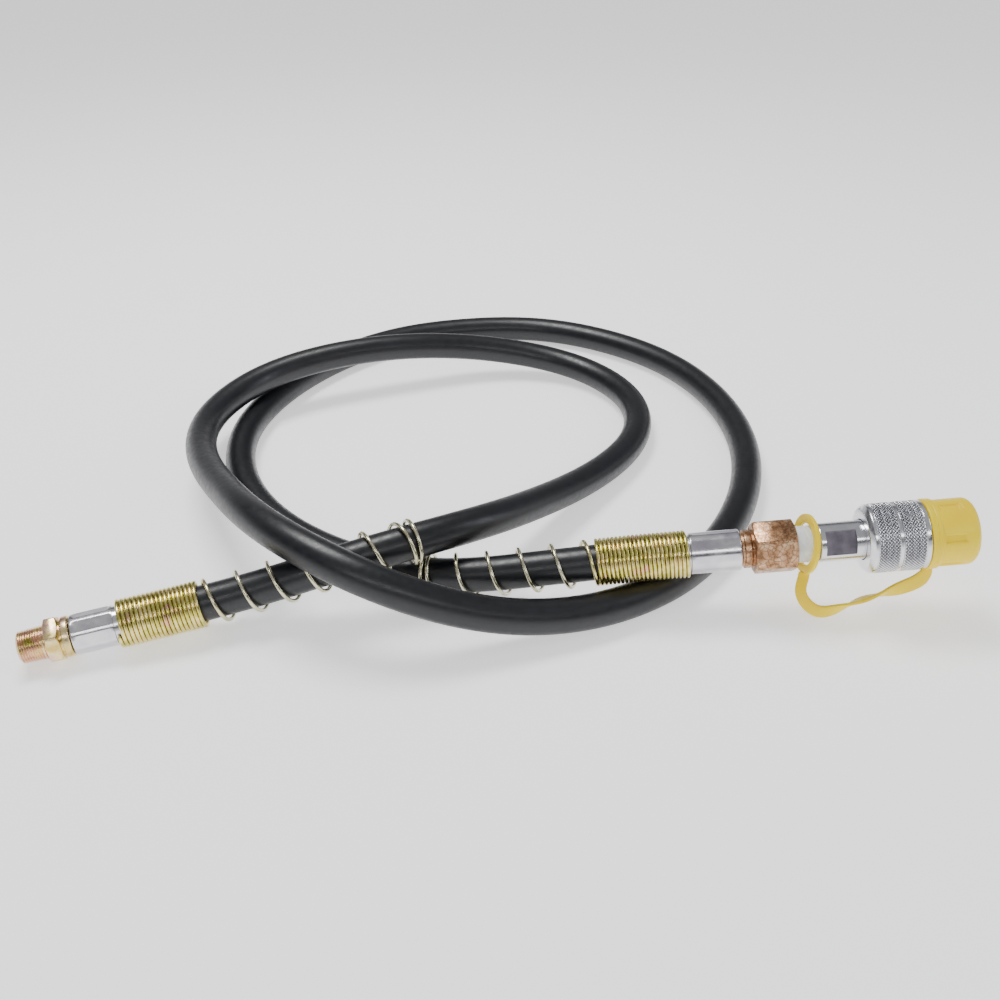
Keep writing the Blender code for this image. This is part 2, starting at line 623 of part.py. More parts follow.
def make_tether(frame, material):
    """The ring round the neck and the strap from it to the cap's bead."""
    half, edge = RING_THICK / 2.0, 0.3
    outline = [(-half, RING_IN), (-half, RING_OUT - edge), (-half + edge, RING_OUT),
               (half - edge, RING_OUT), (half, RING_OUT - edge), (half, RING_IN)]
    ring = turned("tether_ring", outline, frame, material)
    ring.matrix_local = Matrix.Translation((RING_X * MM, 0.0, 0.0)) @ ring_matrix().to_4x4()

    swing = math.radians(STRAP_SWING)
    down = np.array([0.0, -math.sin(swing), -math.cos(swing)])
    ring_turn = np.array(ring_matrix())
    rim = ring_turn @ (down * (RING_OUT + GAP))
    ring_end = np.array([RING_X, 0.0, 0.0]) + rim
    reach = [(134.3, CAP_BEAD_R + GAP), (132.4, 18.0), (127.0, 20.8), (117.5, 23.2), (106.0, 26.0),
             (96.0, 28.8), (89.5, 29.0), (84.9, 25.6), (82.6, 19.5)]
    path = [np.array([x, 0.0, 0.0]) + down * r for x, r in reach] + [ring_end]
    curve = cubic_through(path, down, -rim / np.linalg.norm(rim), 400)
    total = lengths(curve)[-1]
    share = np.linspace(0.0, 1.0, STRAP_STATIONS)
    centres = at_lengths(curve, share * total)
    runs = np.gradient(curve, axis=0)
    runs = np.stack([np.interp(share * total, lengths(curve), runs[:, k]) for k in range(3)], axis=1)
    runs /= np.linalg.norm(runs, axis=1)[:, None]
    across = np.cross(runs, np.cross([1.0, 0.0, 0.0], down))
    wide = np.cross(across, runs)
    wide /= np.linalg.norm(wide, axis=1)[:, None]
    thin = np.cross(runs, wide)
    twist = np.radians(STRAP_TWIST) * (1.0 - np.sin(math.pi * share ** 0.82) ** 8)
    c, s = np.cos(twist)[:, None], np.sin(twist)[:, None]
    wide, thin = wide * c + thin * s, thin * c - wide * s
    narrowing = np.interp(share, [0.0, 0.07, 0.5, 0.9], [0.68, 1.0, 1.0, STRAP_END_WIDTH / STRAP_WIDTH])
    wide = wide * narrowing[:, None]
    w, h = STRAP_WIDTH / 2.0, STRAP_THICK / 2.0
    section = [(w, h), (-w, h), (-w, -h), (w, -h)]
    return swept("tether_strap", centres, wide, thin, section, material, frame)


# ---------------------------------------------------------------- the whole assembly

def main():
    clear_scene()
    rubber = paint("hose_rubber", (0.02, 0.022, 0.028), 0.45)
    seal = paint("seal_rubber", (0.03, 0.03, 0.03), 0.6)
    yellow_zinc = paint("yellow_zinc", (0.75, 0.66, 0.35), 0.3, 1.0)
    zinc = paint("bright_zinc", (0.8, 0.8, 0.82), 0.22, 1.0)
    copper = paint("copper_plate", (0.72, 0.47, 0.33), 0.35, 1.0)
    steel = paint("bright_steel", (0.7, 0.7, 0.7), 0.3, 1.0)
    white = paint("white_tape", (0.9, 0.9, 0.9), 0.6)
    yellow = paint("yellow_plastic", (0.95, 0.75, 0.02), 0.4)

    frame_a = end_frame("end_a_axis", END_A, END_A_YAW, END_A_PITCH)
    frame_b = end_frame("end_b_axis", END_B, 0.0, END_B_PITCH)
    bpy.context.view_layer.update()

    curve = hose_curve(frame_a, frame_b)
    make_hose(curve, rubber)
    spine_a = np.vstack([along(frame_a, 0.0), curve])
    spine_b = np.vstack([along(frame_b, B_SPRING_END), curve[::-1]])
    up = np.array([0.0, 0.0, 1.0])
    make_guard("spring_guard_a", spine_a, up, 19.25, 6.0, 13.6, 88.0, yellow_zinc)
    make_guard("spring_guard_b", spine_b, up, 22.0, 4.6, 13.9, 200.0, yellow_zinc)

    make_male_end(frame_a, yellow_zinc)
    make_ferrule("ferrule_a", frame_a, zinc, A_COLLAR_END + GAP, A_SKIRT_END, -GAP, A_FERRULE_R, 8, 0.35)
    make_hose_end("a", frame_a, A_COLLAR_END + 2.9, A_SKIRT_END, seal, steel)

    make_hex_end(frame_b, copper)
    make_ferrule("ferrule_b", frame_b, zinc, B_FERRULE_END, B_HOSE_END + GAP, B_SPRING_END + GAP,
                 B_FERRULE_R, 0, 0.0)
    make_hose_end("b", frame_b, B_HOSE_END + GAP, B_FERRULE_END - 2.6, seal, steel)
    make_tape(frame_b, white)
    make_coupler_body(frame_b, zinc)
    make_coupler_nose(frame_b, zinc)
    make_valve(frame_b, steel, seal, steel)
    make_collar(frame_b, zinc, steel)
    make_dust_cap(frame_b, yellow)
    make_tether(frame_b, yellow)


if __name__ == "__main__":
    main()
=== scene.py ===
"""Looks of a hydraulic hose assembly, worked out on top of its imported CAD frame.

The hose, both spring guards and every fitting seen from outside are rebuilt here as fine surfaces:
outlines turned about a fitting's axis, or sections carried along a path. The pieces hidden inside
keep their CAD meshes and get finishes of their own. Sizes are in millimetres along each fitting's
own axis, and become metres when a surface is placed in the frame.
"""
from __future__ import annotations

import logging
import math
from dataclasses import dataclass, field
from enum import Enum
from typing import Callable, Sequence

import bpy
import numpy as np
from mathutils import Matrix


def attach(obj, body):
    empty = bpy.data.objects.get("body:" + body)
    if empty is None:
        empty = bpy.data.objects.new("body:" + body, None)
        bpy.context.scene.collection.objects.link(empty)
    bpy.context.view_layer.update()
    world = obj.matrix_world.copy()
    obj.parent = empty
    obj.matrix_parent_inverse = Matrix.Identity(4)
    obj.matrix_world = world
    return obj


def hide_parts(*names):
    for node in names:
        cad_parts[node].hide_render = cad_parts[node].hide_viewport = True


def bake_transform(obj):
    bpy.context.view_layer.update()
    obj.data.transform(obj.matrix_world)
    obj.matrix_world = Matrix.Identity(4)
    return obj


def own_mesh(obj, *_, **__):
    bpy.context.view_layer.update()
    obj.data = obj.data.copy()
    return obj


LOG = logging.getLogger("hose_assembly")
MM = 0.001
TURN = 2.0 * math.pi
CREASE = 34.0  # degrees between two faces, past which their edge is sharp
NEAR_AXIS = 0.02  # radius in millimetres at which a solid outline meets its axis
LONGEST_ROUNDING = 0.48  # share of a side that the rounding of one corner may take
CORNER_CUT = 0.992  # share of a hexagon's corner radius that is left standing
CHAMFER_CIRCLE = 0.972  # radius of a hexagon's chamfer at its end, as a share of half its flats
CHAMFER_ANGLE = 29.0  # degrees between that chamfer and the end face
EDGE_SOFTNESS = 0.10  # rounding of a hexagon's edges in millimetres

Stops = tuple[tuple[float, tuple[float, float, float]], ...]

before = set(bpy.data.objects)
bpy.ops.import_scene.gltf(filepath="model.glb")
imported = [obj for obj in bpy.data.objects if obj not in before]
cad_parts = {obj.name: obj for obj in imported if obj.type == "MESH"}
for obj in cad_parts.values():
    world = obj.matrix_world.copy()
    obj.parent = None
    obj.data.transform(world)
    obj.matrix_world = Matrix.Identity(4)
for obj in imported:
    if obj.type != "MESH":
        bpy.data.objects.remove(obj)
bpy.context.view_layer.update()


class Body(str, Enum):
    """The rigid bodies that pieces ride on."""

    HOSE = "hose_and_ends"
    COLLAR = "collar"
    POPPET = "poppet"
    TETHER = "tether"
    CAP = "cap"


class Slot(str, Enum):
    """The record's material slots."""

    RUBBER = "hose_rubber"
    SEAL = "seal_rubber"
    YELLOW_ZINC = "yellow_zinc"
    BRIGHT_ZINC = "bright_zinc"
    STEEL = "steel"
    COPPER = "copper_plate"
    TAPE = "white_tape"
    YELLOW = "yellow_plastic"


# ---------------------------------------------------------------- axes and curves

@dataclass(frozen=True)
class EndAxis:
    """The axis of one end's fittings: +x runs along it, y lies level, z points up."""

    origin: tuple[float, float, float]
    yaw: float
    pitch: float

    def basis(self) -> np.ndarray:
        """The three unit directions of the axis frame, one per row."""
        cy, sy = math.cos(math.radians(self.yaw)), math.sin(math.radians(self.yaw))
        cp, sp = math.cos(math.radians(self.pitch)), math.sin(math.radians(self.pitch))
        return np.array([[cp * cy, cp * sy, sp], [-sy, cy, 0.0], [-sp * cy, -sp * sy, cp]])

    def place(self, points: np.ndarray) -> np.ndarray:
        """Points given in the axis frame, in the part's frame; both in millimetres."""
        return np.asarray(self.origin) + points @ self.basis()

    def read(self, points: np.ndarray) -> np.ndarray:
        """Points given in the part's frame in metres, in the axis frame in millimetres."""
        return (points / MM - np.asarray(self.origin)) @ self.basis().T

    def at(self, x: float) -> np.ndarray:
        """The point at x on the axis, in millimetres."""
        return self.place(np.array([x, 0.0, 0.0]))


END_A = EndAxis((-157.0, -13.0, 11.05), 19.0, 3.0)
END_B = EndAxis((38.0, 13.4, 23.0), 0.0, 6.0)


def spline_through(points: np.ndarray, first: np.ndarray, last: np.ndarray,
                   count: int) -> np.ndarray:
    """A cubic spline through points, with set end directions and a continuous second derivative.

    The second derivatives at the points solve the usual three-term equations on chord lengths;
    each piece is then the cubic with those second derivatives at its two ends.

    Args:
        points: the points it passes through, one per row.
        first: unit direction at the first point.
        last: unit direction at the last point.
        count: how many points to return.

    Returns:
        Points evenly spaced in chord length, one per row.
    """
    size = len(points)
    t = np.concatenate([[0.0], np.cumsum(np.linalg.norm(np.diff(points, axis=0), axis=1))])
    h = np.diff(t)
    slopes = np.diff(points, axis=0) / h[:, None]
    matrix = np.diag(np.concatenate([[2.0 * h[0]], 2.0 * (h[:-1] + h[1:]), [2.0 * h[-1]]]))
    matrix += np.diag(h, 1) + np.diag(h, -1)
    right = 6.0 * np.vstack([slopes[0] - first, np.diff(slopes, axis=0), last - slopes[-1]])
    m = np.linalg.solve(matrix, right)
    s = np.linspace(0.0, t[-1], count)
    k = np.clip(np.searchsorted(t, s, side="right") - 1, 0, size - 2)
    left, rest, step = (t[k + 1] - s)[:, None], (s - t[k])[:, None], h[k][:, None]
    curve = (m[k] * left ** 3 + m[k + 1] * rest ** 3) / (6.0 * step)
    curve += (points[k] / step - m[k] * step / 6.0) * left
    return curve + (points[k + 1] / step - m[k + 1] * step / 6.0) * rest


def run_lengths(curve: np.ndarray) -> np.ndarray:
    """Distance along a polyline at each of its points."""
    return np.concatenate([[0.0], np.cumsum(np.linalg.norm(np.diff(curve, axis=0), axis=1))])


def read_along(values: np.ndarray, at: np.ndarray, wanted: np.ndarray) -> np.ndarray:
    """Columns of values, known at the places at, read at the wanted places by straight lines."""
    return np.stack([np.interp(wanted, at, column) for column in values.T], axis=1)


def unit(vectors: np.ndarray) -> np.ndarray:
    """Vectors scaled to length one along their last axis."""
    return vectors / np.linalg.norm(vectors, axis=-1, keepdims=True)


def carried_frames(curve: np.ndarray,
                   side: np.ndarray) -> tuple[np.ndarray, np.ndarray, np.ndarray]:
    """Directions along a curve, with a side and an up direction carried along without twist.

    Args:
        curve: points of the curve.
        side: a direction that the first side direction is closest to.

    Returns:
        The curve's directions, its sides and its ups, one per point.
    """
    ways = unit(np.gradient(curve, axis=0))
    sides = np.empty_like(ways)
    for index, way in enumerate(ways):
        side = side - way * np.dot(side, way)
        side = side / np.linalg.norm(side)
        sides[index] = side
    return ways, sides, np.cross(ways, sides)


def smooth_step(values: np.ndarray, low: float, high: float) -> np.ndarray:
    """0 below low, 1 above high, and 3t^2 - 2t^3 between them."""
    t = np.clip((values - low) / (high - low), 0.0, 1.0)
    return t * t * (3.0 - 2.0 * t)


def saw(values: np.ndarray) -> np.ndarray:
    """A triangle wave of period one: 0 at whole numbers and 1 halfway between them."""
    return 1.0 - np.abs(2.0 * (values - np.floor(values)) - 1.0)


# ---------------------------------------------------------------- surfaces

@dataclass
class Skin:
    """A grid of points (rows by columns) that becomes a closed mesh.

    Columns always close round. Rows close too where loop is true, as on a piece with a bore;
    otherwise the first and last rows are closed with a fan of triangles to their middles. The
    array along holds each row's distance from the first row, in millimetres.
    """

    points: np.ndarray
    loop: bool
    along: np.ndarray
    sharp: float = CREASE

    def faces(self) -> list[list[int]]:
        """Quads between neighbouring rows and columns, and fans over open ends."""
        rows, cols, _ = self.points.shape
        index = np.arange(rows * cols).reshape(rows, cols)
        low = index if self.loop else index[:-1]
        high = np.roll(index, -1, axis=0) if self.loop else index[1:]
        quads = np.stack([low, np.roll(low, -1, 1), np.roll(high, -1, 1), high], axis=-1)
        faces = quads.reshape(-1, 4).tolist()
        if not self.loop:
            first, last = index[0], index[-1]
            start, end = rows * cols, rows * cols + 1
            faces += np.stack([np.roll(first, -1), first, np.full(cols, start)], 1).tolist()
            faces += np.stack([last, np.roll(last, -1), np.full(cols, end)], 1).tolist()
        return faces

    def vertices(self) -> np.ndarray:
        """Grid points, then the middles of the open ends."""
        flat = self.points.reshape(-1, 3)
        if self.loop:
            return flat
        return np.vstack([flat, self.points[0].mean(axis=0), self.points[-1].mean(axis=0)])

    def signed_volume(self, vertices: np.ndarray, faces: list[list[int]]) -> float:
        """Six times the enclosed volume, negative where the faces point inwards."""
        quads = np.array([face if len(face) == 4 else face + face[-1:] for face in faces])
        a, b, c, d = (vertices[quads[:, k]] for k in range(4))
        first = np.einsum("ij,ij->i", a, np.cross(b, c))
        return float(np.sum(first + np.einsum("ij,ij->i", a, np.cross(c, d))))

    def build(self, name: str) -> bpy.types.Object:
        """Make the mesh object in metres, with outward faces and a UV map in metres along rows.

        Args:
            name: the object's name.

        Returns:
            The linked object, at the origin.
        """
        vertices, faces = self.vertices(), self.faces()
        if self.signed_volume(vertices - vertices.mean(axis=0), faces) < 0.0:
            faces = [face[::-1] for face in faces]
        mesh = bpy.data.meshes.new(name)
        mesh.from_pydata((vertices * MM).tolist(), [], faces)
        mesh.shade_smooth()
        mesh.set_sharp_from_angle(angle=math.radians(self.sharp))
        self.add_uv(mesh)
        mesh.update()
        piece = bpy.data.objects.new(name, mesh)
        bpy.context.scene.collection.objects.link(piece)
        return piece

    def add_uv(self, mesh: bpy.types.Mesh) -> None:
        """U runs 0 to 1 round the columns, V is the distance along the rows in metres."""
        rows, cols, _ = self.points.shape
        loops = np.empty(len(mesh.loops), dtype=np.int64)
        mesh.loops.foreach_get("vertex_index", loops)
        inside = np.minimum(loops, rows * cols - 1)
        u = (inside % cols) / cols
        v = self.along[inside // cols] * MM
        starts = np.repeat(np.arange(len(mesh.polygons)), [p.loop_total for p in mesh.polygons])
        highest = np.zeros(len(mesh.polygons))
        np.maximum.at(highest, starts, u)
        u = np.where((highest[starts] > 0.75) & (u < 0.25), u + 1.0, u)
        layer = mesh.uv_layers.new(name="run")
        layer.data.foreach_set("uv", np.stack([u, v], axis=1).ravel())


@dataclass(frozen=True)
class Corner:
    """A corner of an outline: how far along the axis, its radius and the rounding it gets."""

    x: float
    r: float
    rounding: float = 0.0


def rounded_outline(corners: Sequence[Corner], closed: bool = True, steps: int = 5) -> np.ndarray:
    """An outline whose corners are replaced by arcs that touch both of their sides.

    Each arc is the quadratic curve from the point one rounding before the corner to the point one
    rounding after it, which for small roundings looks like a circle's arc.

    Args:
        corners: the outline's corners in order.
        closed: whether the last corner joins the first.
        steps: points along each arc.

    Returns:
        The outline's points (x, r), one per row.
    """
    count = len(corners)
    points: list[np.ndarray] = []
    for index, corner in enumerate(corners):
        here = np.array([corner.x, corner.r])
        ends = not closed and index in (0, count - 1)
        if corner.rounding == 0.0 or ends:
            points.append(here[None, :])
            continue
        before = corners[index - 1]
        after = corners[(index + 1) % count]
        back = np.array([before.x, before.r]) - here
        ahead = np.array([after.x, after.r]) - here
        shorter = min(np.linalg.norm(back), np.linalg.norm(ahead))
        reach = min(corner.rounding, LONGEST_ROUNDING * shorter)
        start = here + unit(back) * reach
        end = here + unit(ahead) * reach
        t = np.linspace(0.0, 1.0, steps)[:, None]
        points.append((1.0 - t) ** 2 * start + 2.0 * t * (1.0 - t) * here + t ** 2 * end)
    return np.vstack(points)


def refined(outline: np.ndarray, low: float, high: float, step: float) -> np.ndarray:
    """The outline with points added, so that its runs between low and high have short steps."""
    pieces: list[np.ndarray] = []
    for here, there in zip(outline[:-1], outline[1:]):
        span = abs(there[0] - here[0])
        inside = min(here[0], there[0]) >= low - 1e-6 and max(here[0], there[0]) <= high + 1e-6
        parts = max(1, int(math.ceil(span / step))) if inside else 1
        t = np.arange(parts)[:, None] / parts
        pieces.append(here + (there - here) * t)
    return np.vstack([*pieces, outline[-1:]])


Shaping = Callable[[np.ndarray, np.ndarray, np.ndarray], np.ndarray]


@dataclass
class Lathe:
    """Turns outlines about a fitting's axis into skins."""

    axis: EndAxis
    columns: int = 96
    start: float = 0.0

    def angles(self) -> np.ndarray:
        """Angles of the columns, from level (+y) towards up (+z)."""
        return math.radians(self.start) + TURN * np.arange(self.columns) / self.columns

    def rows(self, outline: np.ndarray) -> tuple[np.ndarray, np.ndarray]:
        """An outline (x, r) spread over all columns, as grids of x and r."""
        wide = np.ones(self.columns)
        return outline[:, :1] * wide, outline[:, 1:] * wide

    def hexagon_radius(self, flats: float, turn: float) -> np.ndarray:
        """Radius of a hexagon bar whose corners are turned down slightly: flats / 2 / cos(angle
        off the middle of a side), no more than CORNER_CUT times the corner radius."""
        sector = TURN / 6.0
        off = (self.angles() - math.radians(turn)) % sector - sector / 2.0
        radius = flats / 2.0 / np.cos(off)
        return np.minimum(radius, flats / 2.0 / math.cos(sector / 2.0) * CORNER_CUT)

    def hexagon(self, start: float, end: float, flats: float,
                turn: float) -> tuple[np.ndarray, np.ndarray]:
        """Rows of a hexagon whose ends are chamfered by a cone, so its corners look scalloped.

        Args:
            start: where it starts along the axis.
            end: where it ends.
            flats: its size across flats.
            turn: angle of one corner, in degrees.

        Returns:
            Grids of x and r, one row per ring.
        """
        radius = self.hexagon_radius(flats, turn)
        circle = flats / 2.0 * CHAMFER_CIRCLE
        depth = (radius - circle) * math.tan(math.radians(CHAMFER_ANGLE))
        soft, wide = EDGE_SOFTNESS, np.ones(self.columns)
        x = [start * wide, (start + soft * 0.4) * wide, start + depth, start + depth + soft,
             end - depth - soft, end - depth, (end - soft * 0.4) * wide, end * wide]
        half = [(circle - soft) * wide, circle * wide, radius - soft * 0.6, radius]
        return np.array(x), np.array(half + half[::-1])

    def skin(self, x: np.ndarray, r: np.ndarray, loop: bool = True, sharp: float = CREASE) -> Skin:
        """The surface of grids x and r: (x, r cos angle, r sin angle), placed on the axis."""
        angle = self.angles()[None, :]
        local = np.stack([x, r * np.cos(angle), r * np.sin(angle)], axis=-1)
        placed = self.axis.place(local.reshape(-1, 3)).reshape(local.shape)
        middle = np.stack([x.mean(axis=1), r.mean(axis=1)], axis=1)
        return Skin(placed, loop, run_lengths(middle), sharp)

    def turned(self, outline: np.ndarray, shaping: Shaping | None = None, loop: bool = True,
               sharp: float = CREASE) -> Skin:
        """A skin from an outline; shaping may change the radius given grids of x, r and angle."""
        x, r = self.rows(outline)
        if shaping is not None:
            r = shaping(x, r, np.broadcast_to(self.angles()[None, :], x.shape))
        return self.skin(x, r, loop, sharp)


def sweep(centres: np.ndarray, sides: np.ndarray, ups: np.ndarray, section: np.ndarray,
          sharp: float = CREASE) -> Skin:
    """A closed section of (side, up) points carried along centres, closed at both ends.

    Point = centre + side * u + up * v for every (u, v) of the section; a section may have one row
    of points per centre.
    """
    if section.ndim == 2:
        section = np.broadcast_to(section, (len(centres), *section.shape))
    grid = centres[:, None] + sides[:, None] * section[..., :1] + ups[:, None] * section[..., 1:]
    return Skin(grid, False, run_lengths(centres), sharp)


def circle_section(radius: float, count: int) -> np.ndarray:
    """Points (u, v) round a circle."""
    angle = TURN * np.arange(count) / count
    return radius * np.stack([np.cos(angle), np.sin(angle)], axis=1)


# ---------------------------------------------------------------- finishes

def fill_ramp(node: bpy.types.Node, stops: Sequence[tuple[float, Sequence[float]]]) -> None:
    """Give a colour ramp its stops, each a position and a colour."""
    elements = node.color_ramp.elements
    while len(elements) < len(stops):
        elements.new(0.5)
    for element, (position, colour) in zip(elements, stops):
        element.position = position
        element.color = (*colour, 1.0)


class Tree:
    """A material's node tree, with short calls for what the finishes use."""

    def __init__(self, name: str) -> None:
        """Start a material with a Principled shader and Object coordinates."""
        self.material = bpy.data.materials.new(name)
        self.material.use_nodes = True
        self.nodes = self.material.node_tree.nodes
        self.shader = self.nodes["Principled BSDF"]
        self.place = self.nodes.new("ShaderNodeTexCoord")

    def link(self, source: bpy.types.NodeSocket, target: bpy.types.NodeSocket) -> None:
        """Join two sockets."""
        self.material.node_tree.links.new(source, target)

    def noise(self, scale: float, detail: float = 2.0, stretch: Sequence[float] = (1, 1, 1),
              run: bool = False) -> bpy.types.NodeSocket:
        """Noise of scale features per metre, 0 to 1.

        Args:
            scale: features per metre.
            detail: how many finer layers are added.
            stretch: multiplies the coordinates, so a large number makes thin layers.
            run: read the UV map along the piece instead of Object coordinates.

        Returns:
            The noise's value.
        """
        mapping = self.nodes.new("ShaderNodeMapping")
        mapping.inputs["Scale"].default_value = tuple(stretch)
        self.link(self.place.outputs["UV" if run else "Object"], mapping.inputs["Vector"])
        node = self.nodes.new("ShaderNodeTexNoise")
        node.inputs["Scale"].default_value = scale
        node.inputs["Detail"].default_value = detail
        self.link(mapping.outputs["Vector"], node.inputs["Vector"])
        return node.outputs["Fac"]

    def cracks(self, scale: float) -> bpy.types.NodeSocket:
        """Distance to the edges of irregular cells, of scale cells per metre."""
        warp = self.nodes.new("ShaderNodeTexNoise")
        warp.inputs["Scale"].default_value = scale * 0.9
        self.link(self.place.outputs["Object"], warp.inputs["Vector"])
        mix = self.nodes.new("ShaderNodeVectorMath")
        mix.operation = "MULTIPLY_ADD"
        mix.inputs[1].default_value = (1.2 / scale,) * 3
        self.link(warp.outputs["Color"], mix.inputs[0])
        self.link(self.place.outputs["Object"], mix.inputs[2])
        node = self.nodes.new("ShaderNodeTexVoronoi")
        node.feature = "DISTANCE_TO_EDGE"
        node.inputs["Scale"].default_value = scale
        self.link(mix.outputs["Vector"], node.inputs["Vector"])
        return node.outputs["Distance"]

    def ramp(self, value: bpy.types.NodeSocket, stops: Stops) -> bpy.types.NodeSocket:
        """A colour read from a value through colour stops."""
        node = self.nodes.new("ShaderNodeValToRGB")
        fill_ramp(node, stops)
        self.link(value, node.inputs["Fac"])
        return node.outputs["Color"]

    def spread(self, value: bpy.types.NodeSocket, low: float, high: float,
               start: float = 0.3, end: float = 0.7) -> bpy.types.NodeSocket:
        """A value between start and end mapped to low and high."""
        node = self.nodes.new("ShaderNodeMapRange")
        limits = {"From Min": start, "From Max": end, "To Min": low, "To Max": high}
        for key, number in limits.items():
            node.inputs[key].default_value = number
        self.link(value, node.inputs["Value"])
        return node.outputs["Result"]

    def mixed(self, share: bpy.types.NodeSocket, first: bpy.types.NodeSocket,
              second: bpy.types.NodeSocket) -> bpy.types.NodeSocket:
        """A colour between first and second by share."""
        node = self.nodes.new("ShaderNodeMix")
        node.data_type = "RGBA"
        self.link(share, node.inputs["Factor"])
        self.link(first, node.inputs[6])
        self.link(second, node.inputs[7])
        return node.outputs[2]

    def sum_of(self, first: bpy.types.NodeSocket, second: bpy.types.NodeSocket,
               weight: float) -> bpy.types.NodeSocket:
        """first + weight * second."""
        node = self.nodes.new("ShaderNodeMath")
        node.operation = "MULTIPLY_ADD"
        node.inputs[1].default_value = weight
        self.link(second, node.inputs[0])
        self.link(first, node.inputs[2])
        return node.outputs["Value"]

    def attribute(self, name: str) -> bpy.types.NodeSocket:
        """The value of a mesh attribute."""
        node = self.nodes.new("ShaderNodeAttribute")
        node.attribute_name = name
        return node.outputs["Fac"]

    def bump(self, height: bpy.types.NodeSocket, distance: float, strength: float) -> None:
        """Bump the surface by a height, over a distance in metres."""
        node = self.nodes.new("ShaderNodeBump")
        node.inputs["Strength"].default_value = strength
        node.inputs["Distance"].default_value = distance
        self.link(height, node.inputs["Height"])
        self.link(node.outputs["Normal"], self.shader.inputs["Normal"])

    def colour(self, value: bpy.types.NodeSocket) -> None:
        """Use a colour as the base colour."""
        self.link(value, self.shader.inputs["Base Color"])

    def roughness(self, value: bpy.types.NodeSocket) -> None:
        """Use a value as the roughness."""
        self.link(value, self.shader.inputs["Roughness"])

    def settle(self, **values: float) -> None:
        """Set constant shader values; an underscore in a name stands for a space."""
        for name, number in values.items():
            self.shader.inputs[name.replace("_", " ")].default_value = number


@dataclass(frozen=True)
class PlatedMetal:
    """Zinc plate or bare steel: tinted patches, a fine brushed grain and a few duller spots."""

    name: str
    stops: Stops
    rough: tuple[float, float]
    patches: float = 130.0
    grain: float = 2600.0
    grain_depth: float = 0.000012

    def material(self) -> bpy.types.Material:
        """Build the material."""
        tree = Tree(self.name)
        patches = tree.noise(self.patches, 3.0)
        tree.colour(tree.ramp(patches, self.stops))
        spots = tree.noise(self.patches * 5.0, 4.0)
        tree.roughness(tree.spread(spots, *self.rough))
        tree.bump(tree.noise(self.grain, 3.0), self.grain_depth, 0.35)
        tree.settle(Metallic=1.0)
        return tree.material


@dataclass(frozen=True)
class GuardWire:
    """Yellow-passivated spring wire: gold, pink and green where close-wound, paler where open."""

    name: str = "guard_wire"
    closed: Stops = (
        (0.28, (0.74, 0.56, 0.20)), (0.45, (0.88, 0.76, 0.34)),
        (0.58, (0.58, 0.54, 0.12)), (0.74, (0.80, 0.46, 0.38)))
    opened: Stops = (
        (0.30, (0.60, 0.56, 0.36)), (0.65, (0.76, 0.73, 0.54)))

    def material(self) -> bpy.types.Material:
        """Build the material; the mesh attribute open_share chooses between the two tints."""
        tree = Tree(self.name)
        patches = tree.noise(170.0, 3.0)
        closed = tree.ramp(patches, self.closed)
        opened = tree.ramp(patches, self.opened)
        tree.colour(tree.mixed(tree.attribute("open_share"), closed, opened))
        tree.roughness(tree.spread(tree.noise(700.0, 3.0), 0.16, 0.30))
        tree.bump(tree.noise(4200.0, 2.0), 0.00001, 0.3)
        tree.settle(Metallic=1.0)
        return tree.material


@dataclass(frozen=True)
class KnurledZinc:
    """Bright zinc plate with painted shade darkening its knurl grooves."""

    name: str = "knurled_bright_zinc"

    def material(self) -> bpy.types.Material:
        """Build the material; a mesh attribute darkens the knurl grooves with painted shade."""
        tree = Tree(self.name)
        patches = tree.noise(90.0, 3.0)
        raised = tree.ramp(patches, ((0.3, (0.66, 0.66, 0.69)), (0.7, (0.84, 0.85, 0.87))))
        # painted shade: the dark colour laid into the knurl grooves
        sunk = tree.ramp(patches, ((0.3, (0.15, 0.15, 0.175)), (0.7, (0.25, 0.25, 0.28))))
        tree.colour(tree.mixed(tree.attribute("groove_shade"), raised, sunk))
        tree.roughness(tree.spread(tree.noise(600.0, 4.0), 0.14, 0.26))
        tree.bump(tree.noise(2600.0, 3.0), 0.00001, 0.3)
        tree.settle(Metallic=1.0)
        return tree.material


@dataclass(frozen=True)
class CopperPlate:
    """Copper-coloured plate with crackled, mottled flats."""

    name: str = "copper_plate_mottled"

    def material(self) -> bpy.types.Material:
        """Build the material."""
        tree = Tree(self.name)
        stains = tree.ramp(tree.noise(330.0, 5.0), (
            (0.32, (0.20, 0.095, 0.045)), (0.50, (0.50, 0.28, 0.15)), (0.70, (0.80, 0.54, 0.34))))
        edges = tree.cracks(430.0)
        dark = tree.ramp(edges, ((0.0, (0.10, 0.05, 0.025)), (0.12, (0.46, 0.26, 0.14))))
        share = tree.spread(edges, 0.75, 0.0, 0.0, 0.14)
        tree.colour(tree.mixed(share, stains, dark))
        tree.roughness(tree.spread(tree.noise(900.0, 4.0), 0.24, 0.46))
        height = tree.sum_of(tree.noise(520.0, 4.0), tree.spread(edges, 0.0, 1.0, 0.0, 0.15), 0.35)
        tree.bump(height, 0.00008, 0.5)
        tree.settle(Metallic=0.92)
        return tree.material


